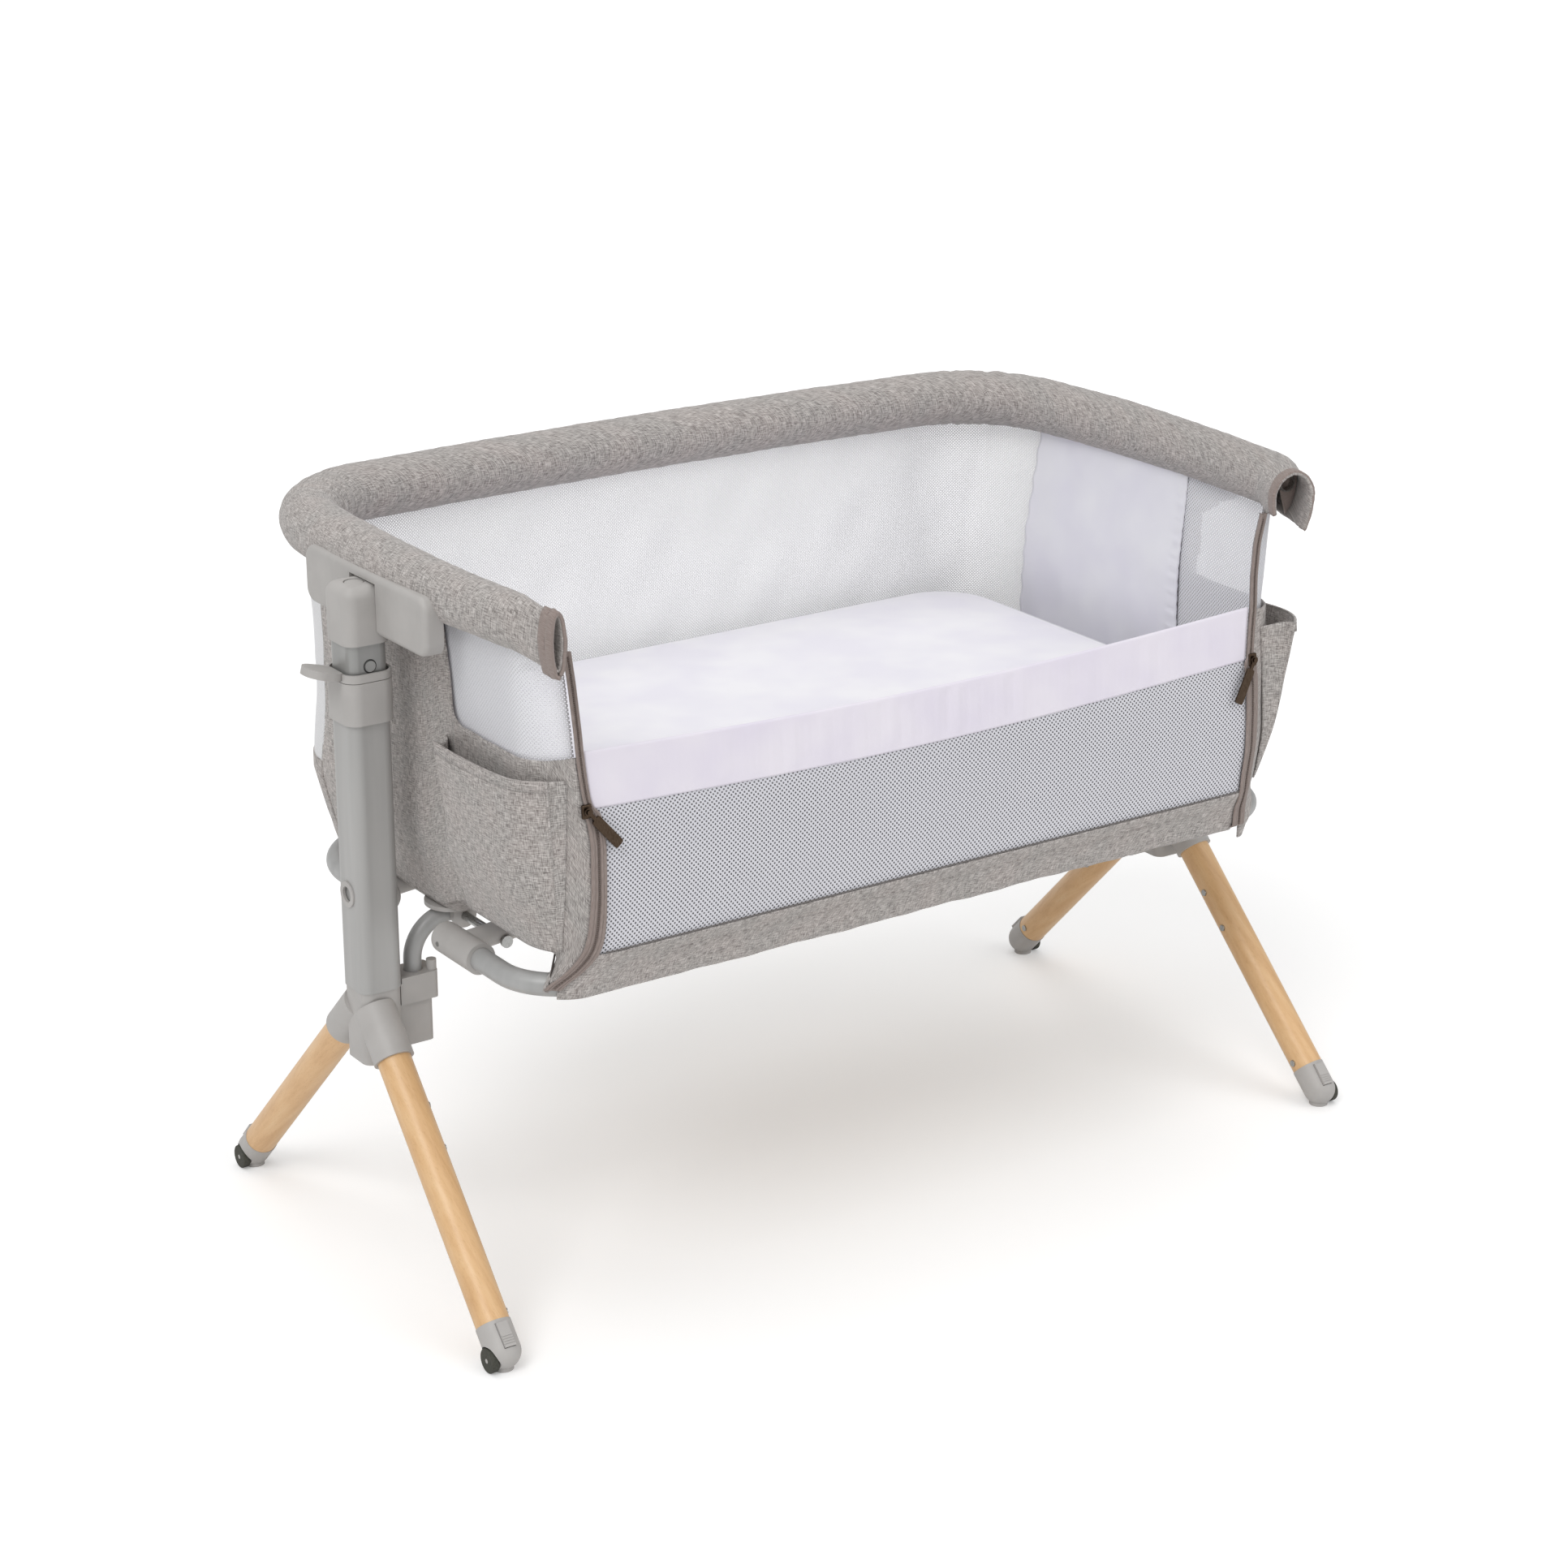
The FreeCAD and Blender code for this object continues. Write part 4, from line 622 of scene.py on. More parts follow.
MELANGE = melange("Melange")
INNER = melange("Melange behind the net", base=(188, 186, 190), dark=(160, 158, 162), light=(206, 204, 208))
NET = net("White net")
BACK_NET = net("White net at the back", thread=(250, 250, 251), period=0.0030, open_share=0.20)
END_NET = net("White net at the ends", thread=(238, 238, 242), period=0.0036, open_share=0.25)
SATIN = satin("White satin", tone=(236, 231, 240))
LINING = satin("White lining", tone=(240, 240, 245), rough=0.7)
COVER = satin("Mattress cover", tone=(241, 240, 244), rough=0.8, pitch=0.0010)
TAPE = webbing("Taupe tape")
COIL = webbing("Zip coil", tone=(112, 96, 88))
# dark thread for the front seam: partly the seam's own stitching, partly painted shade of the groove where
# the net meets the lower band
SEAM_SHADE_THREAD = webbing("Sewing thread", tone=(112, 106, 103))
WHITE_THREAD = webbing("White thread", tone=(226, 226, 230))
GREY = plastic("Light grey plastic", (180, 177, 174))
POST = painted("Silver grey coating", (174, 173, 171), metallic=0.1)
TUBE = painted("Grey coated tube", (170, 170, 169), metallic=0.1)
ALUMINIUM = painted("Anodised aluminium", (164, 164, 162), metallic=0.35, rough=0.36)
STEEL = steel("Zinc steel", (178, 178, 176), rough=0.28)
# dark grey for the rings round the snap buttons: painted shade in the gaps round them
GAP_SHADE = plastic("Dark grey plastic", (58, 58, 57), rough=0.55)
WHEEL = rubber("Olive grey rubber")
BEECH = beech("Lacquered beech")
BRONZE = steel("Dark bronze", (84, 70, 58), rough=0.34)
BOARD = board("Fibre board")


# ---- the padded rail; the seams are distances from the middle of the back
SEAMS = (-0.406, -0.383, -0.350, 0.350, 0.383, 0.406)
PLUG_DEPTH = 0.050


def sleeve_section(s, theta):
    """Outward and upward offsets of the sleeve's cloth; theta runs once round from the seam underneath."""
    to_left, to_right = HALF_RAIL + s, HALF_RAIL - s
    to_mouth = np.minimum(to_left, to_right)
    right = s > 0
    # padding: full at the back, slimmer to the front; the cloth hangs lower on the right
    width = SLEEVE_R + 0.0004 - 0.0035 * ramp(-to_mouth, -0.34, -0.10)
    top = SLEEVE_R + 0.0004 - 0.0025 * ramp(-to_mouth, -0.30, -0.08)
    low = SLEEVE_R + 0.001 - 0.0045 * ramp(-to_left, -0.34, -0.10)
    for seam in SEAMS:
        groove = bump(s, seam, 0.0035) * 0.0014 - bump(s, seam, 0.016) * 0.0006
        width, top, low = width - groove, top - groove, low - groove
    # the left mouth is pressed flat; the right one stands open below
    flat = ramp(-to_left, -0.085, -0.012)
    width = width * (1 - flat) + 0.0042 * flat
    low = low * (1 - flat) + 0.0225 * flat
    opened = np.where(right, ramp(-to_right, -0.060, -0.018), 0.0)
    first, last = math.radians(40) * opened, math.radians(70) * opened
    angle = first + (TURN - first - last) * theta / TURN
    width = width * (1 - opened) + 0.0184 * opened
    low = low * (1 - opened) + 0.040 * opened
    out = width * np.sin(angle)
    rise = -np.cos(angle) * np.where(np.cos(angle) > 0, low, top)
    # cloth folds: along the inside of the corners and where the cuffs gather
    inner = 0.5 - 0.5 * np.sin(angle)
    corner = bump(np.abs(s), 0.381, 0.060)
    fold = 0.0007 * corner * inner * np.sin(TURN * s / 0.013)
    fold = fold + 0.0006 * ripple(s, theta * SLEEVE_R, 0.050, 0.030, 3)
    gather = ramp(-to_mouth, -0.10, -0.03)
    fold = fold + 0.0009 * gather * ripple(s, theta * SLEEVE_R, 0.025, 0.012, 4)
    return out * (1 + fold / SLEEVE_R), rise * (1 + fold / SLEEVE_R)


def sleeve_axis(s):
    """The sleeve's middle: on the tube, then drooping past its ends."""
    point, normal = rail_at(s)
    to_left, to_right = HALF_RAIL + s, HALF_RAIL - s
    z = RAIL_Z - 0.0045 * ramp(-to_left, -0.06, 0.0) - 0.004 * ramp(-to_right, -0.06, 0.0)
    outward = 0.002 * ramp(-to_left, -0.08, 0.0) - 0.0157 * ramp(-to_right, -0.06, 0.0)
    return point + normal * outward[..., None], normal, z


def sleeve_points(s, theta, scale=1.0, extra=0.0):
    """Points of the sleeve's cloth, drawn in by a scale or moved outwards by extra."""
    out, rise = sleeve_section(s, theta)
    centre, normal, z = sleeve_axis(s)
    scale = scale * (1 + extra / np.hypot(out, rise))
    plan = centre + normal * (out * scale)[..., None]
    return np.concatenate([plan, (z + rise * scale)[..., None]], -1)


def sleeve_grid(start, end, columns, extra=0.0):
    """The sleeve's cloth between two places along the rail, facing outwards."""
    s, theta = np.linspace(start, end, columns), np.linspace(0.0, TURN, ROUND_SLEEVE)
    return sleeve_points(*np.meshgrid(s, theta, indexing="ij"), extra=extra)[:, ::-1]


def make_sleeve():
    left = -HALF_RAIL + 0.0035
    sleeve = joined("Rail_sleeve_cloth", [sleeve_grid(left, HALF_RAIL, 560)])
    thicken(sleeve, 0.0022)
    settle(sleeve, MELANGE, "rail_sleeve")
    # taupe binding round both mouths
    theta = np.linspace(0, TURN, ROUND_SLEEVE)
    ridges = 0.0008 + 0.0009 * np.abs(np.sin(np.linspace(0, TURN, 25)))[:, None]
    droop = 0.0026 * (0.5 + 0.5 * np.cos(theta)) ** 4 * (1 + 0.4 * np.sin(7 * theta))
    strips = [sleeve_grid(left - 0.0010, left + 0.015, 25, ridges + droop),
              sleeve_grid(HALF_RAIL - 0.009, HALF_RAIL, 12, 0.0010)]
    sewn("Sleeve_bindings", strips, TAPE, "taupe_trim", None, 0.0030, (0.122, 0.013), 2)
    # the cloth that closes the sleeve around the tube's ends
    plugs = []
    for sign in (-1, 1):
        rings = []
        for share in (1.0, 0.8, 0.55, 0.30, 0.05):
            s = sign * (HALF_RAIL - PLUG_DEPTH * (0.75 + 0.12 * (1 - share)))
            pleat = 1 + 0.05 * np.sin(theta * 9) * (1 - share)
            rings.append(sleeve_points(np.full(ROUND_SLEEVE, s), theta, share * pleat * 0.93))
        plugs.append(np.array(rings)[:, ::sign])
    sewn("Sleeve_end_linings", plugs, TAPE, "taupe_trim", None, 0.0010, (0.034, 0.029), 2, held="gathered")


# ---- the walls
def soft(v, q, z, seed, amount=0.0010):
    """Slack cloth: gentle waves that die out at the edges."""
    fade = np.minimum(ramp(v, 0.0, 0.12), ramp(1 - v, 0.0, 0.12))
    return amount * fade * ripple(q, z, 0.090, 0.130, seed)


def make_end_walls():
    grids_cloth, grids_net, grids_lining = [], [], []
    window_length, window_turn = 0.158, 0.015
    # for each side: where the cloth leaves the base tube, and how low its foot starts and where it has risen
    for seed, side, reach, low, end in ((11, 1, 0.075, 0.306, 0.42), (12, -1, 0.035, 0.322, 0.20)):
        def outward(u, v, q, z, seed=seed):
            upright = 0.0016 * ripple(q, z, 0.028, 0.300, seed) * ramp(v, 0.0, 0.2) * ramp(1 - v, 0.0, 0.15)
            return upright + soft(v, q, z, seed + 20)

        def zip_edge(z, side=side):
            return zip_at(z, side) + 0.003

        def split(z):
            return end_distance(z, SPLIT_Y)

        def corner(z):
            return back_corner(z)[0] + 0.002

        def front_foot(u, low=low, end=end):
            return POCKET_FOOT - (POCKET_FOOT - low) * (1 - ramp(u, 0.02, end))

        def rear_foot(u):
            return FOOT + (POCKET_FOOT - FOOT) * (1 - ramp(u, 0.0, 0.28))

        def window_sill(u):
            distance = np.clip((1 - u) * window_length, 0.0, window_turn)
            rise = window_turn - np.sqrt(np.clip(window_turn ** 2 - (window_turn - distance) ** 2, 0, None))
            return SILL - 0.002 * np.sin(math.pi * u) + rise

        def hem(first, last, foot, tuck, place=hugging(side, reach)):
            return panel(first, last, lambda u: foot(u) - 0.010, lambda u: foot(u) + 0.001, 70, 6,
                         lambda u, v, q, z: -0.012 * tuck(u) * (1 - v) ** 2 - 0.0012, place)

        rear = panel(split, corner, rear_foot, level(WALL_TOP), 70, 90, outward)
        front = panel(zip_edge, split, front_foot, window_sill, 70, 60,
                      lambda u, v, q, z: outward(u, v * 0.6, q, z), hugging(side, reach))
        hems = [hem(zip_edge, split, front_foot, lambda u: ramp(u, 0.0, 0.3)),
                hem(split, corner, rear_foot, lambda u: 1.0)]
        window = panel(zip_edge, lambda z: split(z) + 0.006, level(HIGH_NET), level(WALL_TOP), 70, 60,
                       lambda u, v, q, z: -0.0042 + soft(v, q, z, 31))
        lining = panel(lambda z: split(z) + 0.004, lambda z: corner(z) + 0.004 + 0.0012 * np.sin(z * 240),
                       level(HEM + 0.005), level(WALL_TOP), 70, 60,
                       lambda u, v, q, z: -0.0062 + 0.0012 * ripple(q, z, 0.050, 0.110, 41)
                       + 0.0014 * bump(u, 0.03, 0.03) * np.sin(z * 520))
        made = (grids_cloth, [rear, front, *hems]), (grids_net, [window]), (grids_lining, [lining])
        for store, grids in made:
            store += [mirror(grid) if side < 0 else grid for grid in grids]
    sewn("End_walls", grids_cloth, MELANGE, "melange", "end_panels", CLOTH, (0.375, 0.245), 2)
    sewn("End_windows", grids_net, END_NET, "white_mesh", "end_mesh_windows", NET_CLOTH, (0.170, 0.180), 2)
    sewn("End_linings", grids_lining, LINING, "white_satin", "end_linings", THIN_CLOTH, (0.225, 0.270), 2,
         held="hung")


def back_panel(z0, z1, rows, offset):
    """Round the back between two heights, from the left end's corner to the right one's."""
    u, v = np.meshgrid(np.linspace(0, 1, ALONG_BACK), np.linspace(0, 1, rows))
    z = z0 * (1 - v) + z1 * v
    start, middle = back_corner(z)
    q = (start - middle) * (1 - u) + (middle - start) * u
    outward = offset(u, v, q, z)
    right = wall_at(np.where(q > 0, middle - q, 1.0), z, outward)
    left = wall_at(np.where(q <= 0, -(middle + q), -1.0), z, outward)
    return np.where((q > 0)[..., None], right, left)[:, ::-1]


def make_back():
    def net_waves(u, v, q, z):
        crease = 0.0022 * bump(u, 0.915 + 0.02 * (z - 0.5), 0.010) * ramp(v, 0.1, 0.6)
        return soft(v, q, z, 51, 0.0015) + crease - 0.0006

    net_grid = back_panel(TRAY - 0.008, WALL_TOP, 46, net_waves)
    sewn("Back_net", [net_grid], BACK_NET, "white_mesh", "back_mesh", NET_CLOTH, (0.890, 0.222))
    # heights and offsets from the wall, down the panel and round under the base tube
    profile = [(TRAY, 0.0004), (0.396, 0.0012), (0.385, 0.0009), (0.37, 0.0008), (0.355, 0.0006),
               (0.345, 0.0), (0.335, 0.0), (0.325, -0.0005), (0.316, -0.001), (0.309, -0.003),
               (0.304, -0.007), (0.3015, -0.013), (0.302, -0.021), (0.305, -0.028), (0.311, -0.0325),
               (0.318, -0.0345), (0.3245, -0.035)]
    rows = []
    for index, (z, out) in enumerate(profile):
        def waves(u, v, q, z, out=out, index=index):
            return out + 0.0007 * ripple(q, index * 0.01, 0.06, 0.08, 55) * ramp(index, 0, 4)

        rows.append(back_panel(z, z, 1, waves)[0])
    lower = np.array(rows)[::-1]
    sewn("Back_lower_cloth", [lower], MELANGE, "melange", "back_lower_panel", CLOTH, (0.860, 0.135))


def make_front():
    def edge(side):
        return lambda z: side * (zip_at(z, side) - TAPE_HALF + 0.002)

    def gathers(u, v, q, z):
        strength = 0.35 + 0.9 * bump(q, 0.02, 0.09) + 0.7 * bump(q, -0.17, 0.05) + 0.5 * bump(q, 0.22, 0.06)
        waves = 0.0011 * strength * ripple(q, z, 0.020, 0.350, 61)
        return waves * ramp(v, 0.0, 0.25) * ramp(1 - v, 0.0, 0.15)

    def sheet(low, high, cols, rows, offset):
        return panel(edge(-1), edge(1), low, high, cols, rows, offset)

    band = sheet(level(SLIDER, SAG), level(LIP - 0.001, SAG), ALONG_FRONT, 26, gathers)
    # the band's top is rolled over to the inside: steps back and up from its edge
    roll = ((0.0003, 0.0012), (0.0018, 0.0022), (0.0034, 0.0012), (0.0038, -0.0020), (0.0036, -0.0080),
            (0.0034, -0.0110))
    band = np.concatenate([band, np.array([band[-1] + (0, back, up) for back, up in roll])])
    sewn("Front_top_band", [band], SATIN, "white_satin", "front_top_band", THIN_CLOTH, (0.700, 0.062))
    net_grid = sheet(level(HEM - 0.001), level(SLIDER + 0.004, SAG), 260, 40,
                     lambda u, v, q, z: -0.0008 + 0.5 * soft(v, q, z, 62, 0.0016))
    sewn("Front_net", [net_grid], NET, "white_mesh", "front_mesh", NET_CLOTH, (0.700, 0.132))
    behind = sheet(level(HEM - 0.001), level(SLIDER + 0.002, SAG), 200, 30,
                   lambda u, v, q, z: -0.0050 + 0.5 * soft(v, q, z, 63, 0.0020))
    sewn("Front_inner_cloth", [behind], INNER, "melange", None, THIN_CLOTH, (0.700, 0.130))
    # heights and offsets from the wall, down the band and round under the base tube
    profile = [(HEM, 0.0006), (0.3435, 0.0013), (0.341, 0.0009), (0.336, 0.0004), (0.330, 0.0003),
               (0.322, 0.0), (0.315, -0.0006), (0.309, -0.002), (0.3045, -0.0055), (0.302, -0.011),
               (0.3015, -0.018), (0.304, -0.026), (0.310, -0.0305), (0.318, -0.0325), (0.3245, -0.033)]
    rows = []
    for index, (z, out) in enumerate(profile):
        late = ramp(index, 2, 8)
        q = np.linspace(edge(-1)(z), edge(1)(z), ALONG_FRONT)
        wave = 0.0010 * ripple(q, index * 0.01, 0.045, 0.08, 64) * late
        line = wall_at(q, z, out + wave, True)
        line[:, 2] += 0.0012 * late * ripple(q, 0.0, 0.09, 1.0, 65)
        rows.append(line)
    lower = np.array(rows)[::-1]
    sewn("Front_lower_cloth", [lower], MELANGE, "melange", "front_lower_band", CLOTH, (0.740, 0.082))
    # the seam between the net and the lower band, drawn dark as painted shade of the groove at the band's
    # rolled edge
    seam = wall_at(np.linspace(-0.346, 0.346, 160), HEM + 0.0012, 0.0006)
    tube_object("Front_seam", seam, 0.0005, SEAM_SHADE_THREAD, sides=6)


# ---- zips
def tape_line(side, z, across=0.0, out=0.0):
    """Points along a zip, beside its middle; the lowest end turns under the base tube."""
    foot = TAPE_FOOT[side]
    tuck = 0.012 * ramp(-z, -foot - 0.007, -foot)
    return wall_at(side * (zip_at(z, side) + across), z, out - tuck, True)


def make_zips():
    """Tapes with a raised welt, and the coil between them; below the slider the zip is closed."""
    # half the section: distances from the zip's middle, and how far out the cloth stands there
    half = [(0.0012, 0.0010), (0.0022, 0.0018), (0.0031, 0.0020), (0.0034, 0.0014), (0.0037, 0.0020),
            (0.0060, 0.0016), (0.0066, 0.0006)]
    section = [(-across, out) for across, out in half[::-1]] + [(0.0, 0.0008)] + half
    tooth, tooth_pitch, tooth_half = ((-0.0012, 0.0), (0.0, -0.0007), (0.0012, 0.0)), 0.0017, 0.00045
    tooth_faces = ((0, 1, 4, 3), (1, 2, 5, 4), (0, 2, 1), (3, 4, 5), (0, 3, 5, 2))
    grids, points, faces = [], [], []
    for sign in (-1, 1):
        heights = np.linspace(TAPE_FOOT[sign], 0.606, 150)
        width = 0.57 + 0.58 * ramp(-heights, -SLIDER - 0.004, -SLIDER + 0.004)
        columns = [tape_line(sign, heights, across * width, out + 0.0008) for across, out in section]
        grids.append(np.stack(columns, 1)[:, ::sign])
        for z in np.arange(TAPE_FOOT[sign] + 0.008, 0.602, tooth_pitch):
            start = len(points)
            for x, y, height in tape_line(sign, np.array([z - tooth_half, z + tooth_half]), 0.0, 0.0022):
                points += [(x + dx, y + dy, height) for dx, dy in tooth]
            faces += [tuple(start + corner for corner in face) for face in tooth_faces]
    sewn("Zip_tapes", grids, TAPE, "taupe_trim", "zip_tapes_and_bindings", 0.0012, (0.018, 0.320), 2)
    coil = mesh_object("Zip_coils", points, faces)
    coil.data.uv_layers.new(name="Cut")
    settle(coil, COIL)


# ---- pockets
def make_pockets():
    cloth = []
    for sign, front_lean in ((-1, 0.0095), (1, 0.027)):
        def place(u, v, front_lean=front_lean):
            """Pocket front: u runs from the front edge to the rear one, v from the foot to the top."""
            top = POCKET_TOP - 0.003 * np.sin(math.pi * u) + 0.002 * u
            z = (POCKET_FOOT - 0.002) * (1 - v) + top * v
            q = POCKET_FRONT * (1 - u) + end_distance(z, POCKET_REAR) * u
            lean = front_lean * (1 - u) + 0.0195 * u
            belly = 0.0035 * np.sin(math.pi * u) * np.sin(math.pi * v)
            waves = 0.0010 * ripple(q, z, 0.05, 0.06, 71) * ramp(v, 0.0, 0.2)
            return q, z, 0.0024 + lean * v ** 1.15 + belly + waves

        u, v = np.meshgrid(np.linspace(0, 1, 50), np.linspace(0, 1, 56))
        face = wall_at(*place(u, v))
        # the top edge is rolled over to the inside: steps inwards and up from it
        steps = np.array([(0.00144, 0.0006), (0.00264, 0.0), (0.00192, -0.0012), (0.0012, -0.009)])
        q, z, out = place(u[:len(steps)], 1.0)
        face = np.concatenate([face, wall_at(q, z + steps[:, 1:], out - steps[:, :1])])
        rear = gusset(place, 1.0, 0.016, -0.010)
        front = gusset(place, 0.0, -0.014, 0.007)[:, ::-1]
        cloth += [grid if sign > 0 else mirror(grid) for grid in (face, rear, front)]
    sewn("Side_pockets", cloth, MELANGE, "melange", "side_pockets", CLOTH, (0.150, 0.185), 2)


def gusset(place, u, wall_shift, fold_shift):
    """A pleated gusset from the pocket's edge to the wall."""
    v = np.linspace(0, 1, 56)
    q, z, out = place(u, v)
    columns = []
    for share in np.linspace(0, 1, 12):
        sideways = wall_shift * share + fold_shift * math.sin(math.pi * share) * v
        depth = out * (1 - share) + 0.0014 * share
        columns.append(wall_at(q + sideways * (0.25 + 0.75 * v), z - 0.003 * share * v, depth))
    return np.stack(columns, 1)


# ---- mattress
def rounded_loop(half_x, half_y, turn, count=160):
    """Points round a rounded rectangle, evenly spread."""
    flat_x, flat_y = half_x - turn, half_y - turn
    runs = [2 * flat_y, turn * math.pi / 2, 2 * flat_x, turn * math.pi / 2] * 2
    total = sum(runs)
    corners = [(flat_x, flat_y, 0), (-flat_x, flat_y, 90), (-flat_x, -flat_y, 180), (flat_x, -flat_y, 270)]
    starts = [(half_x, -flat_y), (flat_x, half_y), (-half_x, flat_y), (-flat_x, -half_y)]
    heads = [(0, 1), (-1, 0), (0, -1), (1, 0)]
    points = []
    for distance in np.linspace(0, total, count, endpoint=False):
        index = 0
        while distance > runs[index] + 1e-12:
            distance -= runs[index]
            index += 1
        if index % 2 == 0:
            (x, y), (dx, dy) = starts[index // 2], heads[index // 2]
            points.append((x + dx * distance, y + dy * distance))
        else:
            x, y, start = corners[index // 2]
            angle = math.radians(start) + distance / turn
            points.append((x + turn * math.cos(angle), y + turn * math.sin(angle)))
    return np.array(points)


def node_box(name):
    """A CAD node's lowest and highest corners, about the plane of the stands."""
    low, high = (np.array(corner) - (0, SHIFT_Y, 0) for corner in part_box(name))
    return low, high


def make_mattress():
    low, high = node_box("mattress")
    middle, (half_x, half_y, _) = (low + high) / 2, (high - low) / 2
    foot, crown, edge = low[2], 0.0065, 0.015
    rim = high[2] - crown
    # heights and insets of the rings, from the underside up to the rim, round its edge and over the crown
    steps = [(foot, 0.030), (foot, 0.010), (foot + 0.003, 0.003), (foot + 0.010, 0.0), (foot + 0.020, 0.0012),
             (foot + 0.032, 0.0026), (foot + 0.048, 0.0028), (foot + 0.064, 0.0018), (rim - 0.022, 0.0004)]
    for angle in np.radians(np.linspace(0, 84, 8)):
        steps.append((rim - edge * (1 - math.sin(angle)), edge * (1 - math.cos(angle))))
    insets = np.concatenate([np.linspace(0.020, 0.17, 22), [half_y - 0.025, half_y - 0.012]])
    for inset in insets:
        share = np.clip((inset - 0.015) / 0.15, 0, 1)
        steps.append((rim + crown * math.sin(share * math.pi / 2) ** 0.8, inset))
    rings = []
    for z, inset in steps:
        loop = rounded_loop(half_x - inset, half_y - inset, max(0.056 - 0.3 * inset, 0.010))
        x, y = loop[:, 0] + middle[0], loop[:, 1] + middle[1]
        uneven = 0.0011 * ripple(x, y, 0.16, 0.13, 81) * ramp(inset, 0.004, 0.05) * (z > rim)
        rings.append(np.stack([x, y, z + uneven], -1))
    count = len(rings[0])
    points = np.concatenate(rings)
    faces = grid_faces(len(rings), count, around=True)
    faces += [tuple(range(count))[::-1], tuple((len(rings) - 1) * count + j for j in range(count))]
    uvs = np.stack([points[:, 0], points[:, 1] + points[:, 2]], -1)
    pad = mesh_object("Mattress", points, faces, uvs)
    settle(pad, COVER, "mattress")
    loop = rounded_loop(half_x - 0.0042, half_y - 0.0042, 0.0546, 320)
    path = np.column_stack([loop + middle[:2], np.full(len(loop), rim - 0.0042)])
    tube_object("Mattress_piping", path, 0.0013, WHITE_THREAD, closed=True)


def make_rings():
    """A dark ring round each snap button: painted shade in the gap where the button comes out of the post."""
    turn = np.linspace(0, TURN, 40, endpoint=False)
    for name in ("left", "right"):
        low, high = node_box(name + "_snap_button")
        x, _, z = (low + high) / 2
        y = node_box(name + "_inner_post")[0][1] - 0.0002
        path = np.column_stack([x + 0.0054 * np.cos(turn), np.full(len(turn), y), z + 0.0054 * np.sin(turn)])
        body = name + "_carrier"
        tube_object("Snap_rim_" + name, path, 0.0006, GAP_SHADE, closed=True, body=body)


def make_floor():
    """The cloth floor that closes the basket below the mattress."""
    low, high = node_box("floor_panel")
    middle, (half_x, half_y, _) = (low + high) / 2, (high - low) / 2 - (0.028, 0, 0)
    count = 120
    rings = []
    for inset in (0.0005, 0.004, 0.02, 0.08, half_y - 0.02):
        loop = rounded_loop(half_x - inset, half_y - inset, max(0.058 - 0.3 * inset, 0.01), count)
        rings.append(np.column_stack([loop + middle[:2], np.full(count, high[2])]))
    points = np.concatenate(rings)
    faces = grid_faces(len(rings), count, around=True) + [tuple(range(len(points) - count, len(points)))]
    floor = mesh_object("Basket_floor_cloth", points, faces, points[:, :2])
    finish_cloth(floor, MELANGE, "melange", "floor_panel", 0.0013, (0.720, 0.440), held="laid")


# ---- materials for the frame's own parts
NODE_MATERIALS = (
    (GREY, "base_elbows pivot_brackets wing_brackets head_cap head_button post_grommet height_collar"),
    (GREY, "height_lever leg_hub brace_guide foot_boots front_brake_tab back_brake_tab"),
    (STEEL, "top_rail_tube fold_axles_and_screws leg_screws"),
    (ALUMINIUM, "inner_post snap_button"),
    (TUBE, "base_tubes brace_tube"),
    (POST, "outer_post"),
    (BEECH, "wood_legs"),
    (WHEEL, "front_wheel back_wheel"),
    (BRONZE, "zip_slider zip_pull"),
    (BOARD, "mattress_board"))


def dress_nodes():
    materials = {name: material for material, names in NODE_MATERIALS for name in names.split()}
    for name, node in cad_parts.items():
        plain = name.replace("left_", "").replace("right_", "")
        if plain in materials:
            node.data.materials.clear()
            node.data.materials.append(materials[plain])


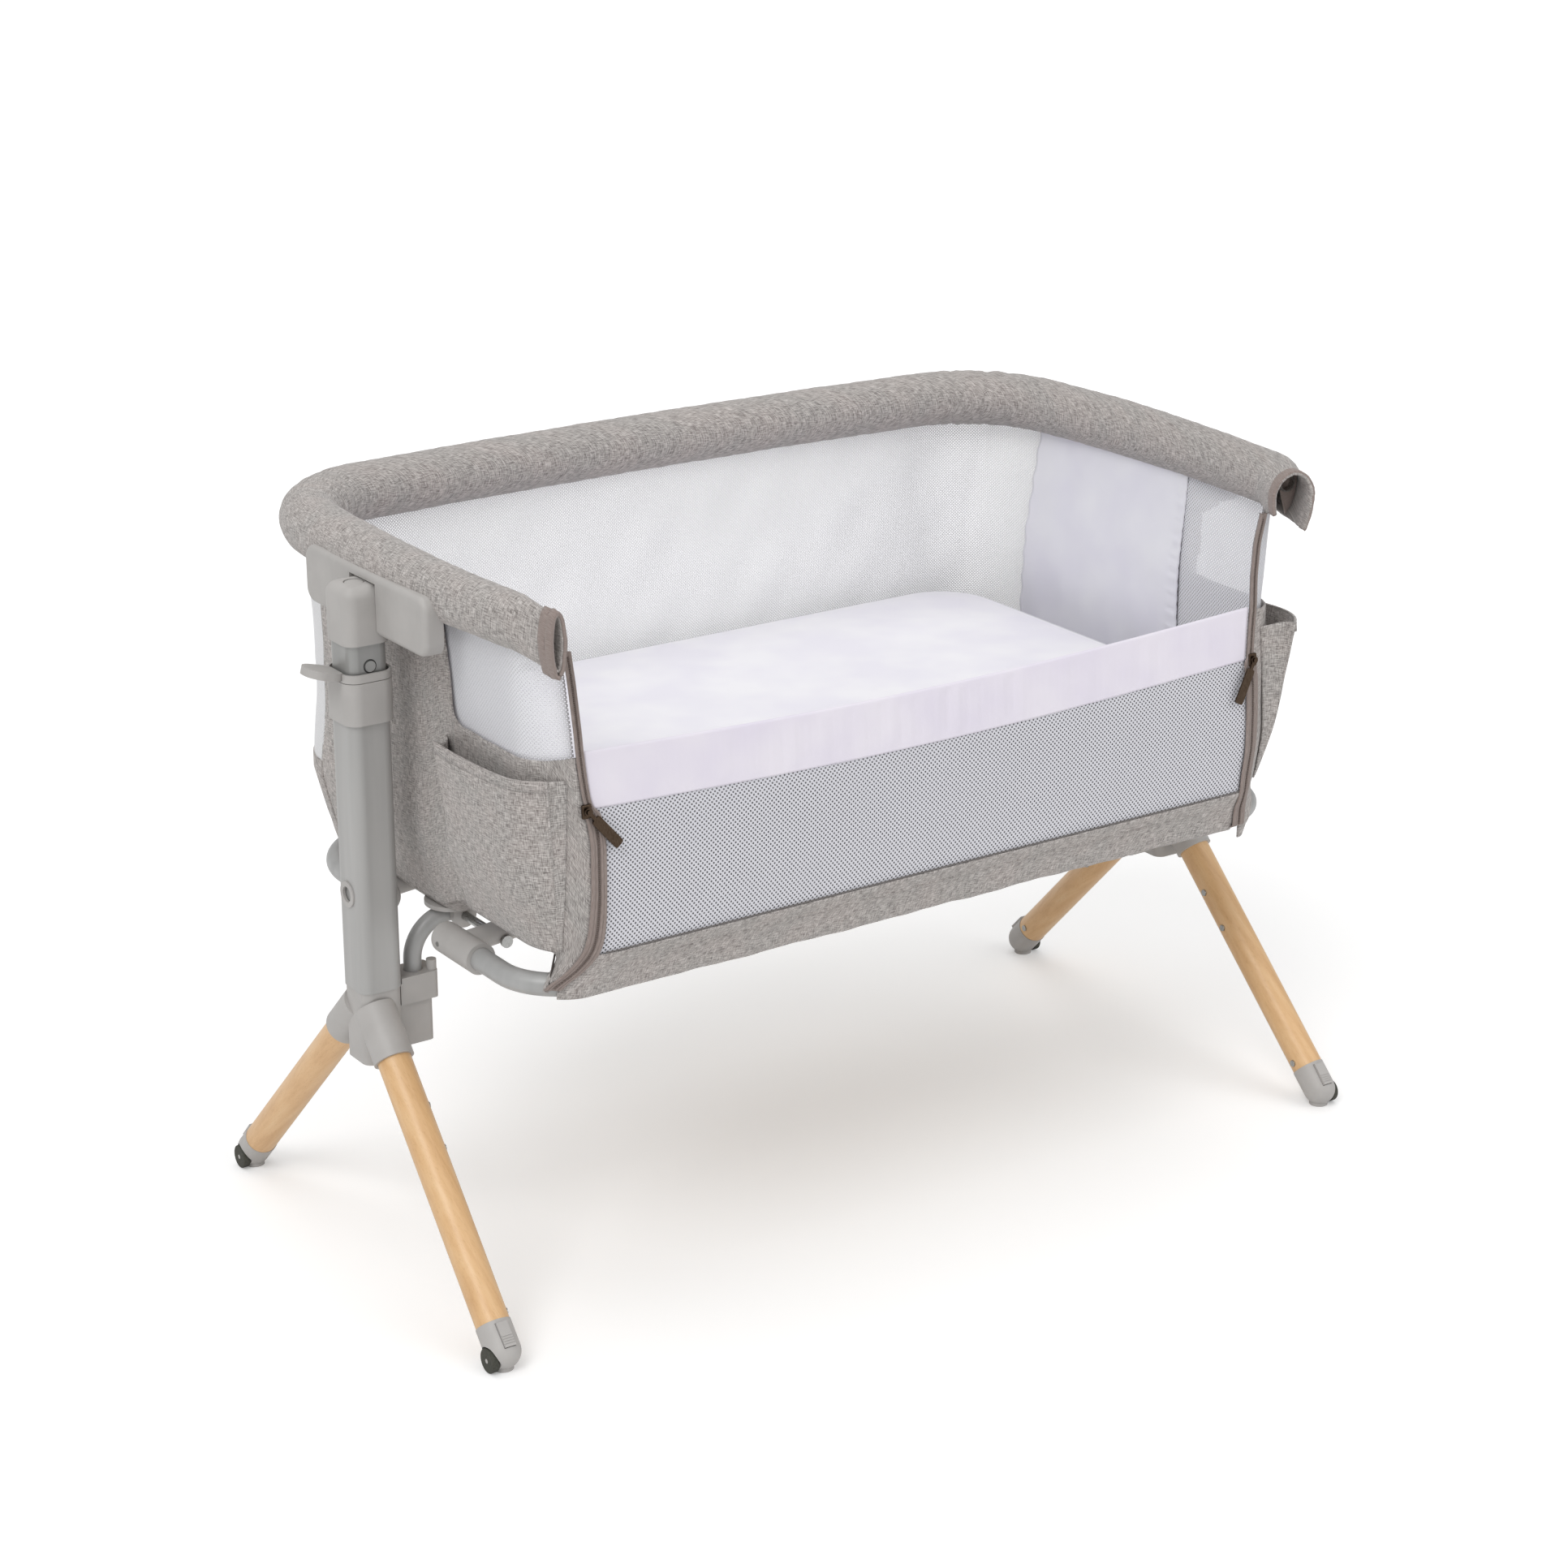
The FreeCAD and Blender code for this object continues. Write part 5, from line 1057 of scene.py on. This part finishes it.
# ---- floor, light and camera
def make_stage():
    half = 12.0
    mesh = bpy.data.meshes.new("Floor")
    corners = [(-half, -half, 0), (half, -half, 0), (half, half, 0), (-half, half, 0)]
    mesh.from_pydata(corners, [], [(0, 1, 2, 3)])
    floor = in_scene("Floor", mesh)
    shader = Shader("Pale floor", Roughness=0.6)
    shader.surface.inputs["Base Color"].default_value = (0.90, 0.90, 0.90, 1.0)
    shader.bump(shader.noise(shader.space(), 60.0, 3.0), 0.02, 0.0002)
    # the camera sees the floor a little brighter, so that it meets the white background and keeps its shadows
    lift = shader.add("ShaderNodeEmission", Strength=0.23)
    both, chosen = shader.add("ShaderNodeAddShader"), shader.add("ShaderNodeMixShader")
    shader.link(shader.surface.outputs[0], both.inputs[0])
    shader.link(lift.outputs[0], both.inputs[1])
    shader.link(shader.add("ShaderNodeLightPath").outputs["Is Camera Ray"], chosen.inputs[0])
    shader.link(shader.surface.outputs[0], chosen.inputs[1])
    shader.link(both.outputs[0], chosen.inputs[2])
    shader.link(chosen.outputs[0], shader.tree.nodes["Material Output"].inputs["Surface"])
    mesh.materials.append(shader.material)


def sun(name, source, strength, angle):
    data = bpy.data.lights.new(name, "SUN")
    data.energy = strength
    data.angle = math.radians(angle)
    lamp = in_scene(name, data)
    lamp.rotation_euler = Vector(source).to_track_quat("Z", "Y").to_euler()


def make_light():
    """A white world that lights the crib at a plain level, and three soft suns."""
    scene = bpy.context.scene
    scene.view_settings.view_transform = "Standard"
    world = bpy.data.worlds.new("Studio")
    world.use_nodes = True
    scene.world = world
    tree = world.node_tree
    # the crib is lit by the ambient light; the camera sees plain white
    ambient, seen = tree.nodes["Background"], tree.nodes.new("ShaderNodeBackground")
    for node, strength in ((ambient, 0.52), (seen, 1.0)):
        node.inputs["Color"].default_value = (1.0, 1.0, 1.0, 1.0)
        node.inputs["Strength"].default_value = strength
    path = tree.nodes.new("ShaderNodeLightPath")
    either = tree.nodes.new("ShaderNodeMath")
    either.operation = "MAXIMUM"
    chosen = tree.nodes.new("ShaderNodeMixShader")
    for source, target in ((path.outputs["Is Camera Ray"], either.inputs[0]),
                           (path.outputs["Is Transmission Ray"], either.inputs[1]),
                           (either.outputs[0], chosen.inputs[0]),
                           (ambient.outputs[0], chosen.inputs[1]),
                           (seen.outputs[0], chosen.inputs[2]),
                           (chosen.outputs[0], tree.nodes["World Output"].inputs["Surface"])):
        tree.links.new(source, target)
    sun("Key", (-1.0, -0.55, 1.3), 1.0, 30)
    sun("Front", (0.5, -1.0, 0.8), 0.5, 40)
    sun("Top", (0.0, 0.2, 1.0), 0.6, 50)


def make_camera():
    data = bpy.data.cameras.new("Camera")
    data.sensor_width = 36.0
    data.lens = 78.38
    camera = in_scene("Camera", data)
    camera.location = (-1.690, -2.4483 + SHIFT_Y, 1.4278)
    camera.rotation_euler = (math.radians(70.19), 0.0, math.radians(-34.38))
    bpy.context.scene.camera = camera


make_camera()
make_light()
make_stage()
dress_nodes()
make_sleeve()
make_end_walls()
make_back()
make_front()
make_zips()
make_pockets()
make_mattress()
make_floor()
make_rings()
